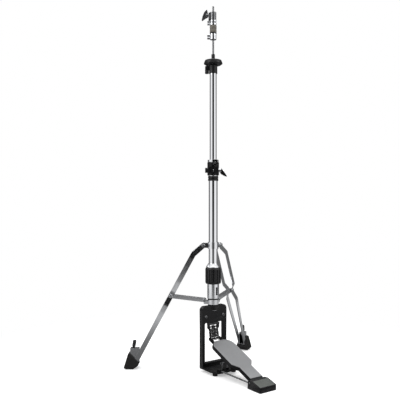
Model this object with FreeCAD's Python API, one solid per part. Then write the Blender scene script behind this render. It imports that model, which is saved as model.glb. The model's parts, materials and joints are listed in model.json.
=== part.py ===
import FreeCAD, Part
import math
import os

# A two-legged hi-hat stand: pedal base, column with pull rod, folding legs, cymbal seat and clutch.
# Millimetres. Origin on the floor under the column's axis, +Z up, the pedal points along -Y.

V = FreeCAD.Vector
UP = V(0, 0, 1)
ALONG_X = V(1, 0, 0)
ALONG_Y = V(0, 1, 0)

# ---------------------------------------------------------------- driving sizes
RUN = 0.05  # radial clearance of a shaft that turns or slides in its hole
GAP = 0.5  # gap between flat faces that move past each other

# column
ROD_R = 3.0
LOWER_TUBE_R = 14.3
LOWER_TUBE_WALL = 1.6
LOWER_TUBE_LENGTH = 344.0
TUBE_GAP = 1.6  # between the upper tube and the lower tube's bore; the nylon sleeve fills it at the mouth
UPPER_TUBE_WALL = 1.5
UPPER_TUBE_SHOWN = 276.0  # between the memory lock and the seat holder
UPPER_TUBE_INSIDE = 182.0  # below the top of the lower tube
ROD_ABOVE_SEAT = 173.5
ROD_ABOVE_CLUTCH = 20.0
ROD_TIP_LENGTH = 18.0  # the free end above the setting groove
ROD_GROOVE = 0.6
HEAD_TURN = -35.5  # how far the clamp, tilter and clutch screws are turned about the column

# pedal base
PAD_HEIGHT = 9.0
FRAME_WIDTH = 96.0
FRAME_DEPTH = 16.0
FRAME_HEIGHT = 196.0
JAMB_WIDTH = 10.0
RAIL_HEIGHT = 53.0
SILL_HEIGHT = 17.0
FRAME_CORNER_R = 13.0
BOSS_WALL = 4.0
BOSS_STEP = 3.0
FRAME_BOLT_R = 3.0
FRAME_BOLT_HEAD_R = 5.5
FRAME_BOLT_DEPTH = 8.0
BASE_THICKNESS = 5.0
BASE_REACH = 77.0
BASE_FRONT_WIDTH = 74.0
BASE_SHOULDER = 42.0  # depth of the base plate's full-width part
RADIUS_ROD_R = 2.5
RADIUS_ROD_CLEARANCE = 1.0  # between each rod and the side of the footboard
RADIUS_ROD_SOCKET = 11.0
SPUR_R = 3.0
SPUR_SPREAD = 10.0
SPUR_HEAD_Z = 36.0

# heel and footboard
HINGE_Y = -213.0
HINGE_Z = 18.0
HINGE_PIN_R = 3.0
KNUCKLE_R = 7.0
HEEL_WIDTH = 62.0
HEEL_BACK_Y = -203.0
HEEL_FRONT_Y = -260.0
HEEL_BACK_HEIGHT = 26.0
HEEL_FRONT_HEIGHT = 15.0
BOARD_LENGTH = 197.0
BOARD_WIDTH = 80.0
BOARD_NARROW_WIDTH = 46.0
BOARD_NARROW_LENGTH = 60.0
BOARD_SHOULDER = 20.0  # length over which the board widens
BOARD_TOP = 8.5  # height of the tread above the hinge axis, square to the board
TREAD_THICKNESS = 2.0
FLANGE_HEIGHT = 13.0

# chain drive
CHAIN_PIN_R = 2.5
CHAIN_BELOW_RAIL = 16.0  # from the window's top down to the chain's upper pin
CHAIN_DROP = 36.0
CHAIN_TOE_Y = -8.0
TOE_PIN_DROP = 2.3  # the toe pin lies this far below the board's hinge line
CHAIN_HALF_WIDTH = 16.0
CHAIN_PLATE = 2.0
CHAIN_OPEN_R = 4.0  # hole of the lower eye, wider than its pin: this pivot is left open

# tension unit, stacked on the frame's boss
NECK_R = 13.0
NECK_WALL = 3.0
NECK_DEPTH = 16.0  # how far the neck tube goes into the frame
STAY_COLLAR_HEIGHT = 15.0
THRUST_RING_HEIGHT = 4.0
HOUSING_OVER_TUBE = 4.6  # the housing stands out this far from the lower tube
HOUSING_HEIGHT = 45.0
HOUSING_WALL = 2.4
SLOT_WIDTH = 6.0
DIAL_OVER_TUBE = 11.0
DIAL_HEIGHT = 52.0
DIAL_RIM = 6.0
DIAL_GROOVES = 16
DIAL_GROOVE_R = 2.2
CONE_HEIGHT = 13.0
SEAT_TRAVEL = 10.0
SPRING_LENGTH = 91.0
SPRING_TURNS = 11
SPRING_WIRE_R = 1.1

# legs, given in the upright plane through each leg: distance from the axis, and height
LEG_TURN = 57.0  # half the angle between the legs
LEG_SWIVEL = -5.0  # how far both legs are swung round the column together
LEG_PIVOT_OVER_TUBE = 16.7
LEG_PIVOT_Z = 396.0
LEG_BEND_OUT = 63.0
LEG_BEND_Z = 368.0
LEG_UPPER_KINK_OUT = 125.0
LEG_UPPER_KINK_Z = 253.0
STAY_OUTER_OUT = 136.0
STAY_OUTER_Z = 233.0
LEG_LOWER_KINK_OUT = 152.0
LEG_LOWER_KINK_Z = 203.0
LEG_END_OUT = 246.0
LEG_END_Z = 27.0
BAR_WIDTH = 16.0
BAR_THICKNESS = 3.0
LEG_COLLAR_HEIGHT = 21.0
LEG_LUG_HALF = 8.0
LEG_BOLT_R = 4.0
STAY_INNER_OUT = 28.0
STAY_HEIGHT = 12.5
STAY_HALF_WIDTH = 6.0
STAY_SHEET = 1.5
STAY_PIN_R = 3.0
FOOT_BEYOND_BARS = 16.0
FOOT_LENGTH = 48.0
FOOT_WIDTH = 42.0
FOOT_BOLT_R = 4.0
FOOT_BOLT_TOP = 90.0
FOOT_BOLT_LEAN = 10.0

# height clamp, seat and clutch
CLAMP_WALL = 7.6
CLAMP_LUG_HALF = 17.0
CLAMP_HEIGHT = 41.0
CLAMP_BOLT_R = 4.0
LOCK_WALL = 6.4
LOCK_HEIGHT = 7.0
HOLDER_WALL = 2.2
HOLDER_HEIGHT = 26.0
TRUNNION_R = 2.0
TILTER_SCREW_R = 2.5
TILTER_KNOB_R = 6.2
SEAT_R = 30.0
SEAT_HEIGHT = 10.0
SEAT_FELT_R = 27.3
SEAT_FELT_HEIGHT = 5.0
SLEEVE_R = 5.6
SLEEVE_BORE_R = 4.8
SLEEVE_ABOVE_FELT = 19.5
CLUTCH_R = 10.0
CLUTCH_TUBE_R = 5.5
CLUTCH_FELT_R = 11.2
CLUTCH_FELT_HEIGHT = 11.0

# ---------------------------------------------------------------- sizes that follow
LOWER_TUBE_BORE = LOWER_TUBE_R - LOWER_TUBE_WALL
UPPER_TUBE_R = LOWER_TUBE_BORE - TUBE_GAP
BOSS_R = NECK_R + BOSS_WALL
HOUSING_R = LOWER_TUBE_R + HOUSING_OVER_TUBE
DIAL_R = LOWER_TUBE_R + DIAL_OVER_TUBE
CLAMP_R = UPPER_TUBE_R + CLAMP_WALL
LOCK_R = UPPER_TUBE_R + LOCK_WALL
RADIUS_ROD_SPREAD = BOARD_NARROW_WIDTH / 2 + RADIUS_ROD_CLEARANCE + RADIUS_ROD_R
HOLDER_R = UPPER_TUBE_R + HOLDER_WALL
LEG_PIVOT_OUT = LOWER_TUBE_R + LEG_PIVOT_OVER_TUBE
FOOT_OUT = LEG_END_OUT + FOOT_BEYOND_BARS
LEG_ANGLES = {"left": 90 + LEG_TURN + LEG_SWIVEL, "right": 90 - LEG_TURN + LEG_SWIVEL}

# ---------------------------------------------------------------- heights that follow
FRAME_TOP = PAD_HEIGHT + FRAME_HEIGHT
WINDOW_TOP = FRAME_TOP - RAIL_HEIGHT
WINDOW_BOTTOM = PAD_HEIGHT + SILL_HEIGHT
CHAIN_TOP_Z = WINDOW_TOP - CHAIN_BELOW_RAIL
CHAIN_TOE_Z = CHAIN_TOP_Z - CHAIN_DROP
BOSS_TOP = FRAME_TOP + BOSS_STEP
STAY_COLLAR_Z = BOSS_TOP + GAP
THRUST_RING_Z = STAY_COLLAR_Z + STAY_COLLAR_HEIGHT + GAP
HOUSING_Z = THRUST_RING_Z + THRUST_RING_HEIGHT
HOUSING_TOP = HOUSING_Z + HOUSING_HEIGHT
LOWER_TUBE_Z = HOUSING_TOP - 5.0
LOWER_TUBE_TOP = LOWER_TUBE_Z + LOWER_TUBE_LENGTH
DIAL_Z = HOUSING_TOP + GAP
CONE_Z = DIAL_Z + DIAL_HEIGHT + GAP
STAY_PIVOT_Z = STAY_COLLAR_Z + 12.5
SPRING_SEAT_Z = HOUSING_Z + 16.0
SPRING_Z = SPRING_SEAT_Z + 16.0
SPRING_CUP_Z = SPRING_Z + SPRING_LENGTH
CLAMP_Z = LOWER_TUBE_TOP + 8.0
LOCK_Z = CLAMP_Z + CLAMP_HEIGHT + 2 * GAP
HOLDER_Z = LOCK_Z + LOCK_HEIGHT + UPPER_TUBE_SHOWN
UPPER_TUBE_TOP = HOLDER_Z + 20.0
UPPER_TUBE_BOTTOM = LOWER_TUBE_TOP - UPPER_TUBE_INSIDE
SEAT_Z = HOLDER_Z + HOLDER_HEIGHT + 1.5
SEAT_PIVOT_Z = SEAT_Z + 4.0
FELT_Z = SEAT_Z + SEAT_HEIGHT
SEAT_TOP = FELT_Z + SEAT_FELT_HEIGHT
ROD_TOP = SEAT_TOP + ROD_ABOVE_SEAT
CLUTCH_TOP = ROD_TOP - ROD_ABOVE_CLUTCH

# the board's slope, from where its hinge and the chain's toe pin are
TOE_REACH = math.hypot(CHAIN_TOE_Y - HINGE_Y, CHAIN_TOE_Z - HINGE_Z)
TOE_SLOPE = math.atan2(CHAIN_TOE_Z - HINGE_Z, CHAIN_TOE_Y - HINGE_Y)
BOARD_ANGLE = math.degrees(TOE_SLOPE + math.asin(TOE_PIN_DROP / TOE_REACH))


# ---------------------------------------------------------------- helpers
def upright(r, low, high, x=0.0, y=0.0):
    """A cylinder along Z."""
    return Part.makeCylinder(r, high - low, V(x, y, low), UP)


def across(r, left, right, y, z):
    """A cylinder along X."""
    return Part.makeCylinder(r, right - left, V(left, y, z), ALONG_X)


def fore_aft(r, near, far, x, z):
    """A cylinder along Y."""
    return Part.makeCylinder(r, far - near, V(x, near, z), ALONG_Y)


def ring(r_out, r_in, low, high):
    return upright(r_out, low, high).cut(upright(r_in, low - 1, high + 1))


def block(x0, x1, y0, y1, z0, z1):
    return Part.makeBox(x1 - x0, y1 - y0, z1 - z0, V(x0, y0, z0))


def prism(points, depth):
    """A flat outline, closed here, pushed along the depth vector."""
    wire = Part.makePolygon([V(*p) for p in points] + [V(*points[0])])
    return Part.Face(wire).extrude(V(*depth))


def fused(first, *others):
    return first.multiFuse(list(others)).removeSplitter()


def cut(body, *tools):
    for tool in tools:
        body = body.cut(tool)
    return body


def turned(shape, angle):
    """The shape turned about the column's axis."""
    copy = shape.copy()
    copy.rotate(V(0, 0, 0), UP, angle)
    return copy


def softened(shape, radius, pick):
    """Rounds the edges that pick() chooses by their middle point."""
    edges = [e for e in shape.Edges if pick(e)]
    return shape.makeFillet(radius, edges)


def is_upright(edge):
    a, b = edge.Vertexes[0].Point, edge.Vertexes[-1].Point
    return abs(a.x - b.x) < 1e-6 and abs(a.y - b.y) < 1e-6 and abs(a.z - b.z) > 1e-6


def save(name, *solids):
    shape = solids[0] if len(solids) == 1 else Part.makeCompound(list(solids))
    assert shape.isValid(), name
    shape.exportStep("parts/" + name + ".step")
    print(name, len(shape.Solids), "solids", round(shape.Volume / 1000, 2), "cm3")


# ---------------------------------------------------------------- pedal base
def pedal_frame():
    """An arch with a window, and a boss that takes the neck tube."""
    half = FRAME_WIDTH / 2
    deep = FRAME_DEPTH / 2
    arch = block(-half, half, -deep, deep, PAD_HEIGHT, FRAME_TOP)
    arch = softened(
        arch,
        FRAME_CORNER_R,
        lambda e: e.BoundBox.ZMin > FRAME_TOP - 1e-6 and e.BoundBox.XLength < 1e-6,
    )
    window = block(-half + JAMB_WIDTH, half - JAMB_WIDTH, -deep - 1, deep + 1, WINDOW_BOTTOM, WINDOW_TOP)
    window = softened(window, 3.0, lambda e: e.BoundBox.YLength > FRAME_DEPTH)
    boss = upright(BOSS_R, FRAME_TOP - NECK_DEPTH + 2, BOSS_TOP)
    arch = fused(arch.cut(window), boss)
    neck_seat = upright(NECK_R, FRAME_TOP - NECK_DEPTH, BOSS_TOP + 1)
    rod_way = upright(ROD_R + 3 * GAP, WINDOW_TOP - 1, FRAME_TOP)
    return cut(arch, neck_seat, rod_way, *frame_bolt_shanks())


def frame_bolt_places():
    """Two places in the top rail, in from its ends and down from its top."""
    return [(side * (FRAME_WIDTH / 2 - 14), FRAME_TOP - 33) for side in (-1, 1)]


def frame_bolt_shanks():
    face = -FRAME_DEPTH / 2
    return [fore_aft(FRAME_BOLT_R, face, face + FRAME_BOLT_DEPTH, x, z) for x, z in frame_bolt_places()]


def frame_bolts():
    """Two round-headed bolts in the frame's top rail."""
    face = -FRAME_DEPTH / 2
    bolts = []
    for shank, (x, z) in zip(frame_bolt_shanks(), frame_bolt_places()):
        bolts.append(fused(shank, fore_aft(FRAME_BOLT_HEAD_R, face - 3, face, x, z)))
    return bolts


def spur_places():
    return [(side * SPUR_SPREAD, -BASE_REACH + 17.0) for side in (-1, 1)]


def base_plate():
    """The plate in front of the frame, with a lug for each radius rod and a threaded post for each spur."""
    half_back = FRAME_WIDTH / 2
    half_front = BASE_FRONT_WIDTH / 2
    back = -FRAME_DEPTH / 2
    low = PAD_HEIGHT
    shoulder = back - BASE_SHOULDER
    outline = [
        (-half_back, back, low),
        (half_back, back, low),
        (half_back, shoulder, low),
        (half_front, -BASE_REACH, low),
        (-half_front, -BASE_REACH, low),
        (-half_back, shoulder, low),
    ]
    plate = prism(outline, (0, 0, BASE_THICKNESS))
    plate = softened(plate, 6.0, lambda e: is_upright(e) and e.BoundBox.YMax < back - 1)
    top = low + BASE_THICKNESS
    lugs = []
    for side in (-1, 1):
        x = side * RADIUS_ROD_SPREAD
        lug_end = -BASE_REACH + RADIUS_ROD_SOCKET + 3
        lugs.append(block(x - 6, x + 6, -BASE_REACH, lug_end, top - 1, top + 2 * RADIUS_ROD_R + 2))
    posts = [upright(SPUR_R + 2.5, low, top + 4, x, y) for x, y in spur_places()]
    holes = [upright(SPUR_R + RUN, 0, SPUR_HEAD_Z, x, y) for x, y in spur_places()]
    return cut(fused(plate, *lugs, *posts), *holes, *radius_rods())


def floor_pads():
    """A rubber pad under the frame and one under each front corner of the base plate."""
    pads = [upright(10.0, 0, PAD_HEIGHT)]
    for side in (-1, 1):
        pads.append(upright(8.0, 0, PAD_HEIGHT, side * (BASE_FRONT_WIDTH / 2 - 1), -BASE_REACH + 19))
    return pads


def spur(side):
    """A floor spur: a pointed screw with a T-shaped head."""
    x, y = spur_places()[0 if side < 0 else 1]
    point_length = 4.0
    tip_z = 1.0
    shank = upright(SPUR_R, tip_z + point_length, SPUR_HEAD_Z, x, y)
    point = Part.makeCone(0.4, SPUR_R, point_length, V(x, y, tip_z), UP)
    head = across(SPUR_R - 0.5, x - 7.0, x + 7.0, y, SPUR_HEAD_Z)
    return fused(shank, point, head)


def radius_rods():
    """Two rods that tie the base plate to the heel plate."""
    z = PAD_HEIGHT + BASE_THICKNESS + RADIUS_ROD_R
    near = HINGE_Y + HINGE_PIN_R + 2 * GAP
    far = -BASE_REACH + RADIUS_ROD_SOCKET
    return [fore_aft(RADIUS_ROD_R, near, far, side * RADIUS_ROD_SPREAD, z) for side in (-1, 1)]


# ---------------------------------------------------------------- heel and footboard
def heel_wedge(inset, drop):
    """The sloping part of the heel plate, or with an inset the recess for its pad."""
    half = HEEL_WIDTH / 2 - inset
    back = HINGE_Y - KNUCKLE_R - 1.5
    slope = (HEEL_BACK_HEIGHT - HEEL_FRONT_HEIGHT) / (back - HEEL_FRONT_Y)
    low = -1 if inset else 0
    outline = [
        (-half, back - inset, low),
        (-half, HEEL_FRONT_Y + inset, low),
        (-half, HEEL_FRONT_Y + inset, HEEL_FRONT_HEIGHT + slope * inset - drop),
        (-half, back - inset, HEEL_BACK_HEIGHT - slope * inset - drop),
    ]
    return prism(outline, (2 * half, 0, 0))


def heel_pad_space():
    """A layer 2 mm thick, flush with the top of the wedge and 3 mm in from its sides."""
    rim = 3.0
    return heel_wedge(rim, 0.0).cut(heel_wedge(rim - 1.0, 2.0))


def heel_plate():
    half = HEEL_WIDTH / 2
    foot = block(-half, half, HEEL_FRONT_Y, HEEL_BACK_Y, 0, 6.0)
    corner = 3.5
    foot = softened(foot, corner, is_upright)
    wedge = heel_wedge(0.0, 0.0)
    wedge = softened(wedge, corner, lambda e: e.BoundBox.YMax < HEEL_FRONT_Y + 1e-6 and is_upright(e))
    inner = BOARD_NARROW_WIDTH / 2 + 1.0
    ears = []
    for x0 in (-half, inner):
        width = half - inner
        cheek = block(x0, x0 + width, HINGE_Y - KNUCKLE_R - 2, HINGE_Y, 0, HINGE_Z + KNUCKLE_R)
        round_end = across(KNUCKLE_R, x0, x0 + width, HINGE_Y, HINGE_Z)
        foot_of_ear = block(x0, x0 + width, HINGE_Y, HINGE_Y + KNUCKLE_R, 0, HINGE_Z)
        ears.append(fused(cheek, round_end, foot_of_ear))
    body = fused(foot, wedge, *ears)
    pin_hole = across(HINGE_PIN_R, -half - 1, half + 1, HINGE_Y, HINGE_Z)
    return cut(body, pin_hole, heel_pad_space(), *radius_rods())


def heel_hinge_pin():
    return across(HINGE_PIN_R, -HEEL_WIDTH / 2, HEEL_WIDTH / 2, HINGE_Y, HINGE_Z)


def on_board(shape):
    """Places a shape made flat, with the hinge axis as its origin and Y along the board."""
    shape = shape.copy()
    shape.rotate(V(0, 0, 0), ALONG_X, BOARD_ANGLE)
    shape.translate(V(0, HINGE_Y, HINGE_Z))
    return shape


def board_face(inset, start):
    """The board's outline: narrow at the heel, wide at the toe, with rounded toe corners."""
    narrow = BOARD_NARROW_WIDTH / 2 - inset
    wide = BOARD_WIDTH / 2 - inset
    tip = BOARD_LENGTH - inset
    neck = BOARD_NARROW_LENGTH
    right = [
        V(narrow, start, 0),
        V(narrow, neck, 0),
        V(wide, neck + BOARD_SHOULDER, 0),
        V(wide, tip - 24, 0),
    ]
    corner = V(wide - 8, tip - 9, 0)
    shoulder = V(wide * 0.55, tip - 2, 0)
    flip = lambda p: V(-p.x, p.y, p.z)
    edges = [Part.makeLine(a, b) for a, b in zip(right, right[1:])]
    edges.append(Part.Arc(right[-1], corner, shoulder).toShape())
    edges.append(Part.Arc(shoulder, V(0, tip, 0), flip(shoulder)).toShape())
    edges.append(Part.Arc(flip(shoulder), flip(corner), flip(right[-1])).toShape())
    edges += [Part.makeLine(flip(b), flip(a)) for a, b in reversed(list(zip(right, right[1:])))]
    edges.append(Part.makeLine(flip(right[0]), right[0]))
    return Part.Face(Part.Wire(edges))


def board_layer(inset, start, low, high):
    face = board_face(inset, start)
    face.translate(V(0, 0, low))
    return face.extrude(V(0, 0, high - low))


def footboard_carrier():
    """The black pan under the tread: a plate with flanges all round and the hinge knuckle."""
    top = BOARD_TOP - TREAD_THICKNESS
    low = BOARD_TOP - FLANGE_HEIGHT
    pan = board_layer(0.0, 0.0, low, top)
    hollow = board_layer(3.0, KNUCKLE_R + 4, low - 1, top - 2.5)
    half = BOARD_NARROW_WIDTH / 2
    knuckle = across(KNUCKLE_R, -half, half, 0, 0)
    web = block(-half, half, 0, KNUCKLE_R, -KNUCKLE_R + 2, low + 1)
    pin_hole = across(HINGE_PIN_R + RUN, -half - 1, half + 1, 0, 0)
    return on_board(cut(fused(pan.cut(hollow), knuckle, web), pin_hole))


def footboard_tread():
    return on_board(board_layer(1.2, 8.0, BOARD_TOP - TREAD_THICKNESS, BOARD_TOP))


def toe_pin_place():
    """The chain's lower pin in the board's own flat frame: along the board, and square to it."""
    dy = CHAIN_TOE_Y - HINGE_Y
    dz = CHAIN_TOE_Z - HINGE_Z
    angle = math.radians(BOARD_ANGLE)
    along = dy * math.cos(angle) + dz * math.sin(angle)
    square = -dy * math.sin(angle) + dz * math.cos(angle)
    return along, square


def toe_clamp():
    """A fork under the toe that holds the chain's lower pin between two arms."""
    along, square = toe_pin_place()
    under = BOARD_TOP - TREAD_THICKNESS - 2.5
    reach = CHAIN_HALF_WIDTH + GAP
    arm = 4.0
    root = BOARD_LENGTH - 26
    seat = block(-reach - arm, reach + arm, root, BOARD_LENGTH - 5, square - 5, under)
    parts = [seat]
    for side in (-1, 1):
        x0 = reach if side > 0 else -reach - arm
        parts.append(block(x0, x0 + arm, BOARD_LENGTH - 12, along, square - 5, square + 5))
        parts.append(across(5.0, x0, x0 + arm, along, square))
    parts.append(across(CHAIN_PIN_R, -reach - 1, reach + 1, along, square))
    clamp = fused(*parts)
    rim = board_layer(0.0, 0.0, BOARD_TOP - FLANGE_HEIGHT, BOARD_TOP).cut(
        board_layer(3.0, KNUCKLE_R + 4, BOARD_TOP - FLANGE_HEIGHT - 1, BOARD_TOP + 1)
    )
    return on_board(clamp.cut(rim))


def drive_chain():
    """A short double chain: link plates on rollers, hung from the rod end's pin."""
    top = V(0, 0, CHAIN_TOP_Z)
    toe = V(0, CHAIN_TOE_Y, CHAIN_TOE_Z)
    length = top.distanceToPoint(toe)
    eyes = {-length: 6.0, -length / 2: 5.4, 0.0: 6.0}
    rollers = {-length: CHAIN_OPEN_R + 1.2, -length / 2: 4.0, 0.0: CHAIN_PIN_R + 1.9}
    waist = 4.2
    parts = []
    for x in (-CHAIN_HALF_WIDTH, -2.5 - CHAIN_PLATE, 2.5, CHAIN_HALF_WIDTH - CHAIN_PLATE):
        parts.append(block(x, x + CHAIN_PLATE, -waist, waist, -length, 0.0))
        parts += [across(r, x, x + CHAIN_PLATE, 0, z) for z, r in eyes.items()]
    parts += [across(r, -CHAIN_HALF_WIDTH, CHAIN_HALF_WIDTH, 0, z) for z, r in rollers.items()]
    through = CHAIN_HALF_WIDTH + 5
    pin_hole = across(CHAIN_PIN_R + RUN, -through, through, 0, 0)
    open_hole = across(CHAIN_OPEN_R, -through, through, 0, -length)
    chain = cut(fused(*parts), pin_hole, open_hole)
    lean = math.degrees(math.atan2(toe.y - top.y, top.z - toe.z))
    chain.rotate(V(0, 0, 0), ALONG_X, lean)
    chain.translate(top)
    return chain


def rod_end():
    """A fork screwed to the pull rod, with the chain's upper pin."""
    reach = CHAIN_HALF_WIDTH + GAP
    ear = 3.5
    outer = reach + ear
    top = WINDOW_TOP - 2.0
    bridge = block(-outer, outer, -7, 7, CHAIN_TOP_Z + 7.5, top)
    parts = [bridge, across(CHAIN_PIN_R, -outer, outer, 0, CHAIN_TOP_Z)]
    for x0 in (-outer, reach):
        parts.append(block(x0, x0 + ear, -6, 6, CHAIN_TOP_Z, top))
        parts.append(across(6.0, x0, x0 + ear, 0, CHAIN_TOP_Z))
    body = fused(*parts)
    return body.cut(upright(ROD_R, CHAIN_TOP_Z + 8.5, top + 1))


# ---------------------------------------------------------------- tension unit and column
def neck_tube():
    return ring(NECK_R, NECK_R - NECK_WALL, FRAME_TOP - NECK_DEPTH, HOUSING_Z + 4)


def thrust_ring():
    return ring(HOUSING_R - 1, NECK_R, THRUST_RING_Z, HOUSING_Z)


def spring_housing():
    """A chrome shell around the spring seat, with a slot for the seat's pointer."""
    shell = upright(HOUSING_R, HOUSING_Z, HOUSING_TOP)
    bore = upright(HOUSING_R - HOUSING_WALL, HOUSING_Z + 4, LOWER_TUBE_Z)
    neck = upright(NECK_R, HOUSING_Z - 1, HOUSING_Z + 5)
    tube = upright(LOWER_TUBE_R, LOWER_TUBE_Z - 1, HOUSING_TOP + 1)
    low = SPRING_SEAT_Z + 5.0 - SEAT_TRAVEL
    high = SPRING_SEAT_Z + 10.0 + SEAT_TRAVEL
    slot = block(-SLOT_WIDTH / 2, SLOT_WIDTH / 2, -HOUSING_R - 1, -NECK_R, low, high)
    return cut(shell, bore, neck, tube, slot)


def spring_seat():
    """The seat under the return spring; its pointer shows in the slot."""
    body = upright(HOUSING_R - HOUSING_WALL - 0.3, SPRING_SEAT_Z, SPRING_SEAT_Z + 12)
    boss = upright(LOWER_TUBE_BORE - 0.8, SPRING_SEAT_Z + 11, SPRING_SEAT_Z + 16)
    half = SLOT_WIDTH / 2 - 0.4
    pointer = block(-half, half, -HOUSING_R + 0.4, -NECK_R, SPRING_SEAT_Z + 6, SPRING_SEAT_Z + 9)
    way = upright(ROD_R + 0.6, SPRING_SEAT_Z - 1, SPRING_SEAT_Z + 17)
    return fused(body, boss, pointer).cut(way)


def return_spring():
    """A coil around the pull rod, between the seat and the cup."""
    radius = LOWER_TUBE_BORE - 0.8 - SPRING_WIRE_R - 0.5
    height = SPRING_LENGTH - 2 * SPRING_WIRE_R - 0.4
    helix = Part.makeHelix(height / SPRING_TURNS, height, radius)
    helix.translate(V(0, 0, SPRING_Z + SPRING_WIRE_R + 0.2))
    start = V(radius, 0, SPRING_Z + SPRING_WIRE_R + 0.2)
    section = Part.Wire(Part.makeCircle(SPRING_WIRE_R, start, ALONG_Y))
    return Part.Wire(helix.Edges).makePipeShell([section], True, True)


def spring_cup():
    return ring(LOWER_TUBE_BORE - 0.8, ROD_R, SPRING_CUP_Z, SPRING_CUP_Z + 6)


def pull_rod():
    """The rod, with a fine groove that shows how far down a clutch is set."""
    rod = upright(ROD_R, CHAIN_TOP_Z + 8.5, ROD_TOP)
    groove_top = ROD_TOP - ROD_TIP_LENGTH
    return rod.cut(ring(ROD_R + 1, ROD_R - 0.2, groove_top - ROD_GROOVE, groove_top))


def tension_dial():
    """The ribbed dial that turns on the lower tube."""
    body = upright(DIAL_R, DIAL_Z, DIAL_Z + DIAL_HEIGHT)
    body = softened(body, 2.0, lambda e: e.Curve.TypeId == "Part::GeomCircle" and e.BoundBox.ZLength < 1e-6)
    tools = [upright(LOWER_TUBE_R + RUN, DIAL_Z - 1, DIAL_Z + DIAL_HEIGHT + 1)]
    for i in range(DIAL_GROOVES):
        a = 2 * math.pi * i / DIAL_GROOVES
        x = (DIAL_R + 0.4) * math.cos(a)
        y = (DIAL_R + 0.4) * math.sin(a)
        tools.append(upright(DIAL_GROOVE_R, DIAL_Z + DIAL_RIM, DIAL_Z + DIAL_HEIGHT - DIAL_RIM, x, y))
    return cut(body, *tools)


def dial_cone():
    """The chrome cone above the dial, fixed on the lower tube."""
    cone = Part.makeCone(LOWER_TUBE_R + 8, LOWER_TUBE_R + 0.8, CONE_HEIGHT, V(0, 0, CONE_Z), UP)
    return cone.cut(upright(LOWER_TUBE_R, CONE_Z - 1, CONE_Z + CONE_HEIGHT + 1))


def lower_tube():
    return ring(LOWER_TUBE_R, LOWER_TUBE_BORE, LOWER_TUBE_Z, LOWER_TUBE_TOP)


def upper_tube():
    return ring(UPPER_TUBE_R, UPPER_TUBE_R - UPPER_TUBE_WALL, UPPER_TUBE_BOTTOM, UPPER_TUBE_TOP)


# ---------------------------------------------------------------- height clamp
def clamp_sleeve():
    """The nylon sleeve over the lower tube's mouth, which guides the upper tube."""
    outside = upright(LOWER_TUBE_R + 2.2, LOWER_TUBE_TOP - 10, LOWER_TUBE_TOP + 5)
    tube = upright(LOWER_TUBE_R, LOWER_TUBE_TOP - 11, LOWER_TUBE_TOP)
    return cut(outside, tube, upright(UPPER_TUBE_R + RUN, LOWER_TUBE_TOP - 1, LOWER_TUBE_TOP + 6))


def clamp_ring():
    return ring(LOWER_TUBE_R + 1.5, UPPER_TUBE_R + 0.3, LOWER_TUBE_TOP + 5, CLAMP_Z)


def clamp_bolt_y():
    return -(UPPER_TUBE_R + CLAMP_BOLT_R + 2.9)


def clamp_body():
    """A split clamp around the upper tube, with a lug each side of the split."""
    y = clamp_bolt_y()
    top = CLAMP_Z + CLAMP_HEIGHT
    barrel = upright(CLAMP_R, CLAMP_Z, top)
    half = CLAMP_LUG_HALF
    lugs = block(-half, half, y - 6.5, -8, CLAMP_Z + 6, CLAMP_Z + 26)
    lugs = softened(lugs, 3.0, lambda e: e.BoundBox.YMax < y - 6 and is_upright(e))
    bore = upright(UPPER_TUBE_R + RUN, CLAMP_Z - 1, top + 1)
    split = block(-1.0, 1.0, -CLAMP_R - 20, 0, CLAMP_Z - 1, top + 1)
    hole = across(CLAMP_BOLT_R + RUN, -half - 1, half + 1, y, CLAMP_Z + 15)
    return turned(cut(fused(barrel, lugs), bore, split, hole), HEAD_TURN)


def clamp_nut():
    """The nut that the clamp screw pulls against, in the left lug's outer face."""
    y = clamp_bolt_y()
    outside = -CLAMP_LUG_HALF - 9
    nut = across(8.0, outside, -CLAMP_LUG_HALF, y, CLAMP_Z + 15)
    return turned(nut.cut(across(CLAMP_BOLT_R + RUN, outside - 1, 0, y, CLAMP_Z + 15)), HEAD_TURN)


def clamp_screw():
    """The screw with a one-armed lever, broad at its root and narrow at its tip."""
    y = clamp_bolt_y()
    z = CLAMP_Z + 15
    face = CLAMP_LUG_HALF + GAP
    shank = across(CLAMP_BOLT_R, -CLAMP_LUG_HALF - 8, face + 2, y, z)
    hub = across(6.5, face, face + 7, y, z)
    outline = [(3, 8), (8, 7), (16, -3), (26, -17), (25, -20.5), (17, -18), (6, -12), (3, -6)]
    lever = prism([(face + out, y - 2.5, z + rise) for out, rise in outline], (0, 5, 0))
    lever = softened(lever, 1.0, lambda e: e.BoundBox.YLength < 1e-6)
    return turned(fused(shank, hub, lever), HEAD_TURN)


def memory_lock_bolt_place():
    return 5.0, LOCK_Z - 3.0


def memory_lock():
    """A collar clamped on the upper tube that rests on the height clamp."""
    x, z = memory_lock_bolt_place()
    collar = upright(LOCK_R, LOCK_Z, LOCK_Z + LOCK_HEIGHT)
    eye = fore_aft(8.3, -CLAMP_R - 9, -CLAMP_R - 1.0, x, z)
    arm = block(x - 8.3, x + 8.3, -CLAMP_R - 9, -UPPER_TUBE_R - 1, LOCK_Z, LOCK_Z + LOCK_HEIGHT)
    hole = fore_aft(2.5, -CLAMP_R - 10, -CLAMP_R, x, z)
    bore = upright(UPPER_TUBE_R, LOCK_Z - 15, LOCK_Z + LOCK_HEIGHT + 1)
    clear = upright(CLAMP_R + GAP, LOCK_Z - 15, LOCK_Z)
    return turned(cut(fused(collar, eye, arm), bore, clear, hole), HEAD_TURN)


def memory_lock_bolt():
    """A square-headed key bolt."""
    x, z = memory_lock_bolt_place()
    shank = fore_aft(2.5, -CLAMP_R - 9, -CLAMP_R - 1.0, x, z)
    head = block(x - 3, x + 3, -CLAMP_R - 13, -CLAMP_R - 9, z - 3, z + 3)
    return turned(fused(shank, head), HEAD_TURN)


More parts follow.
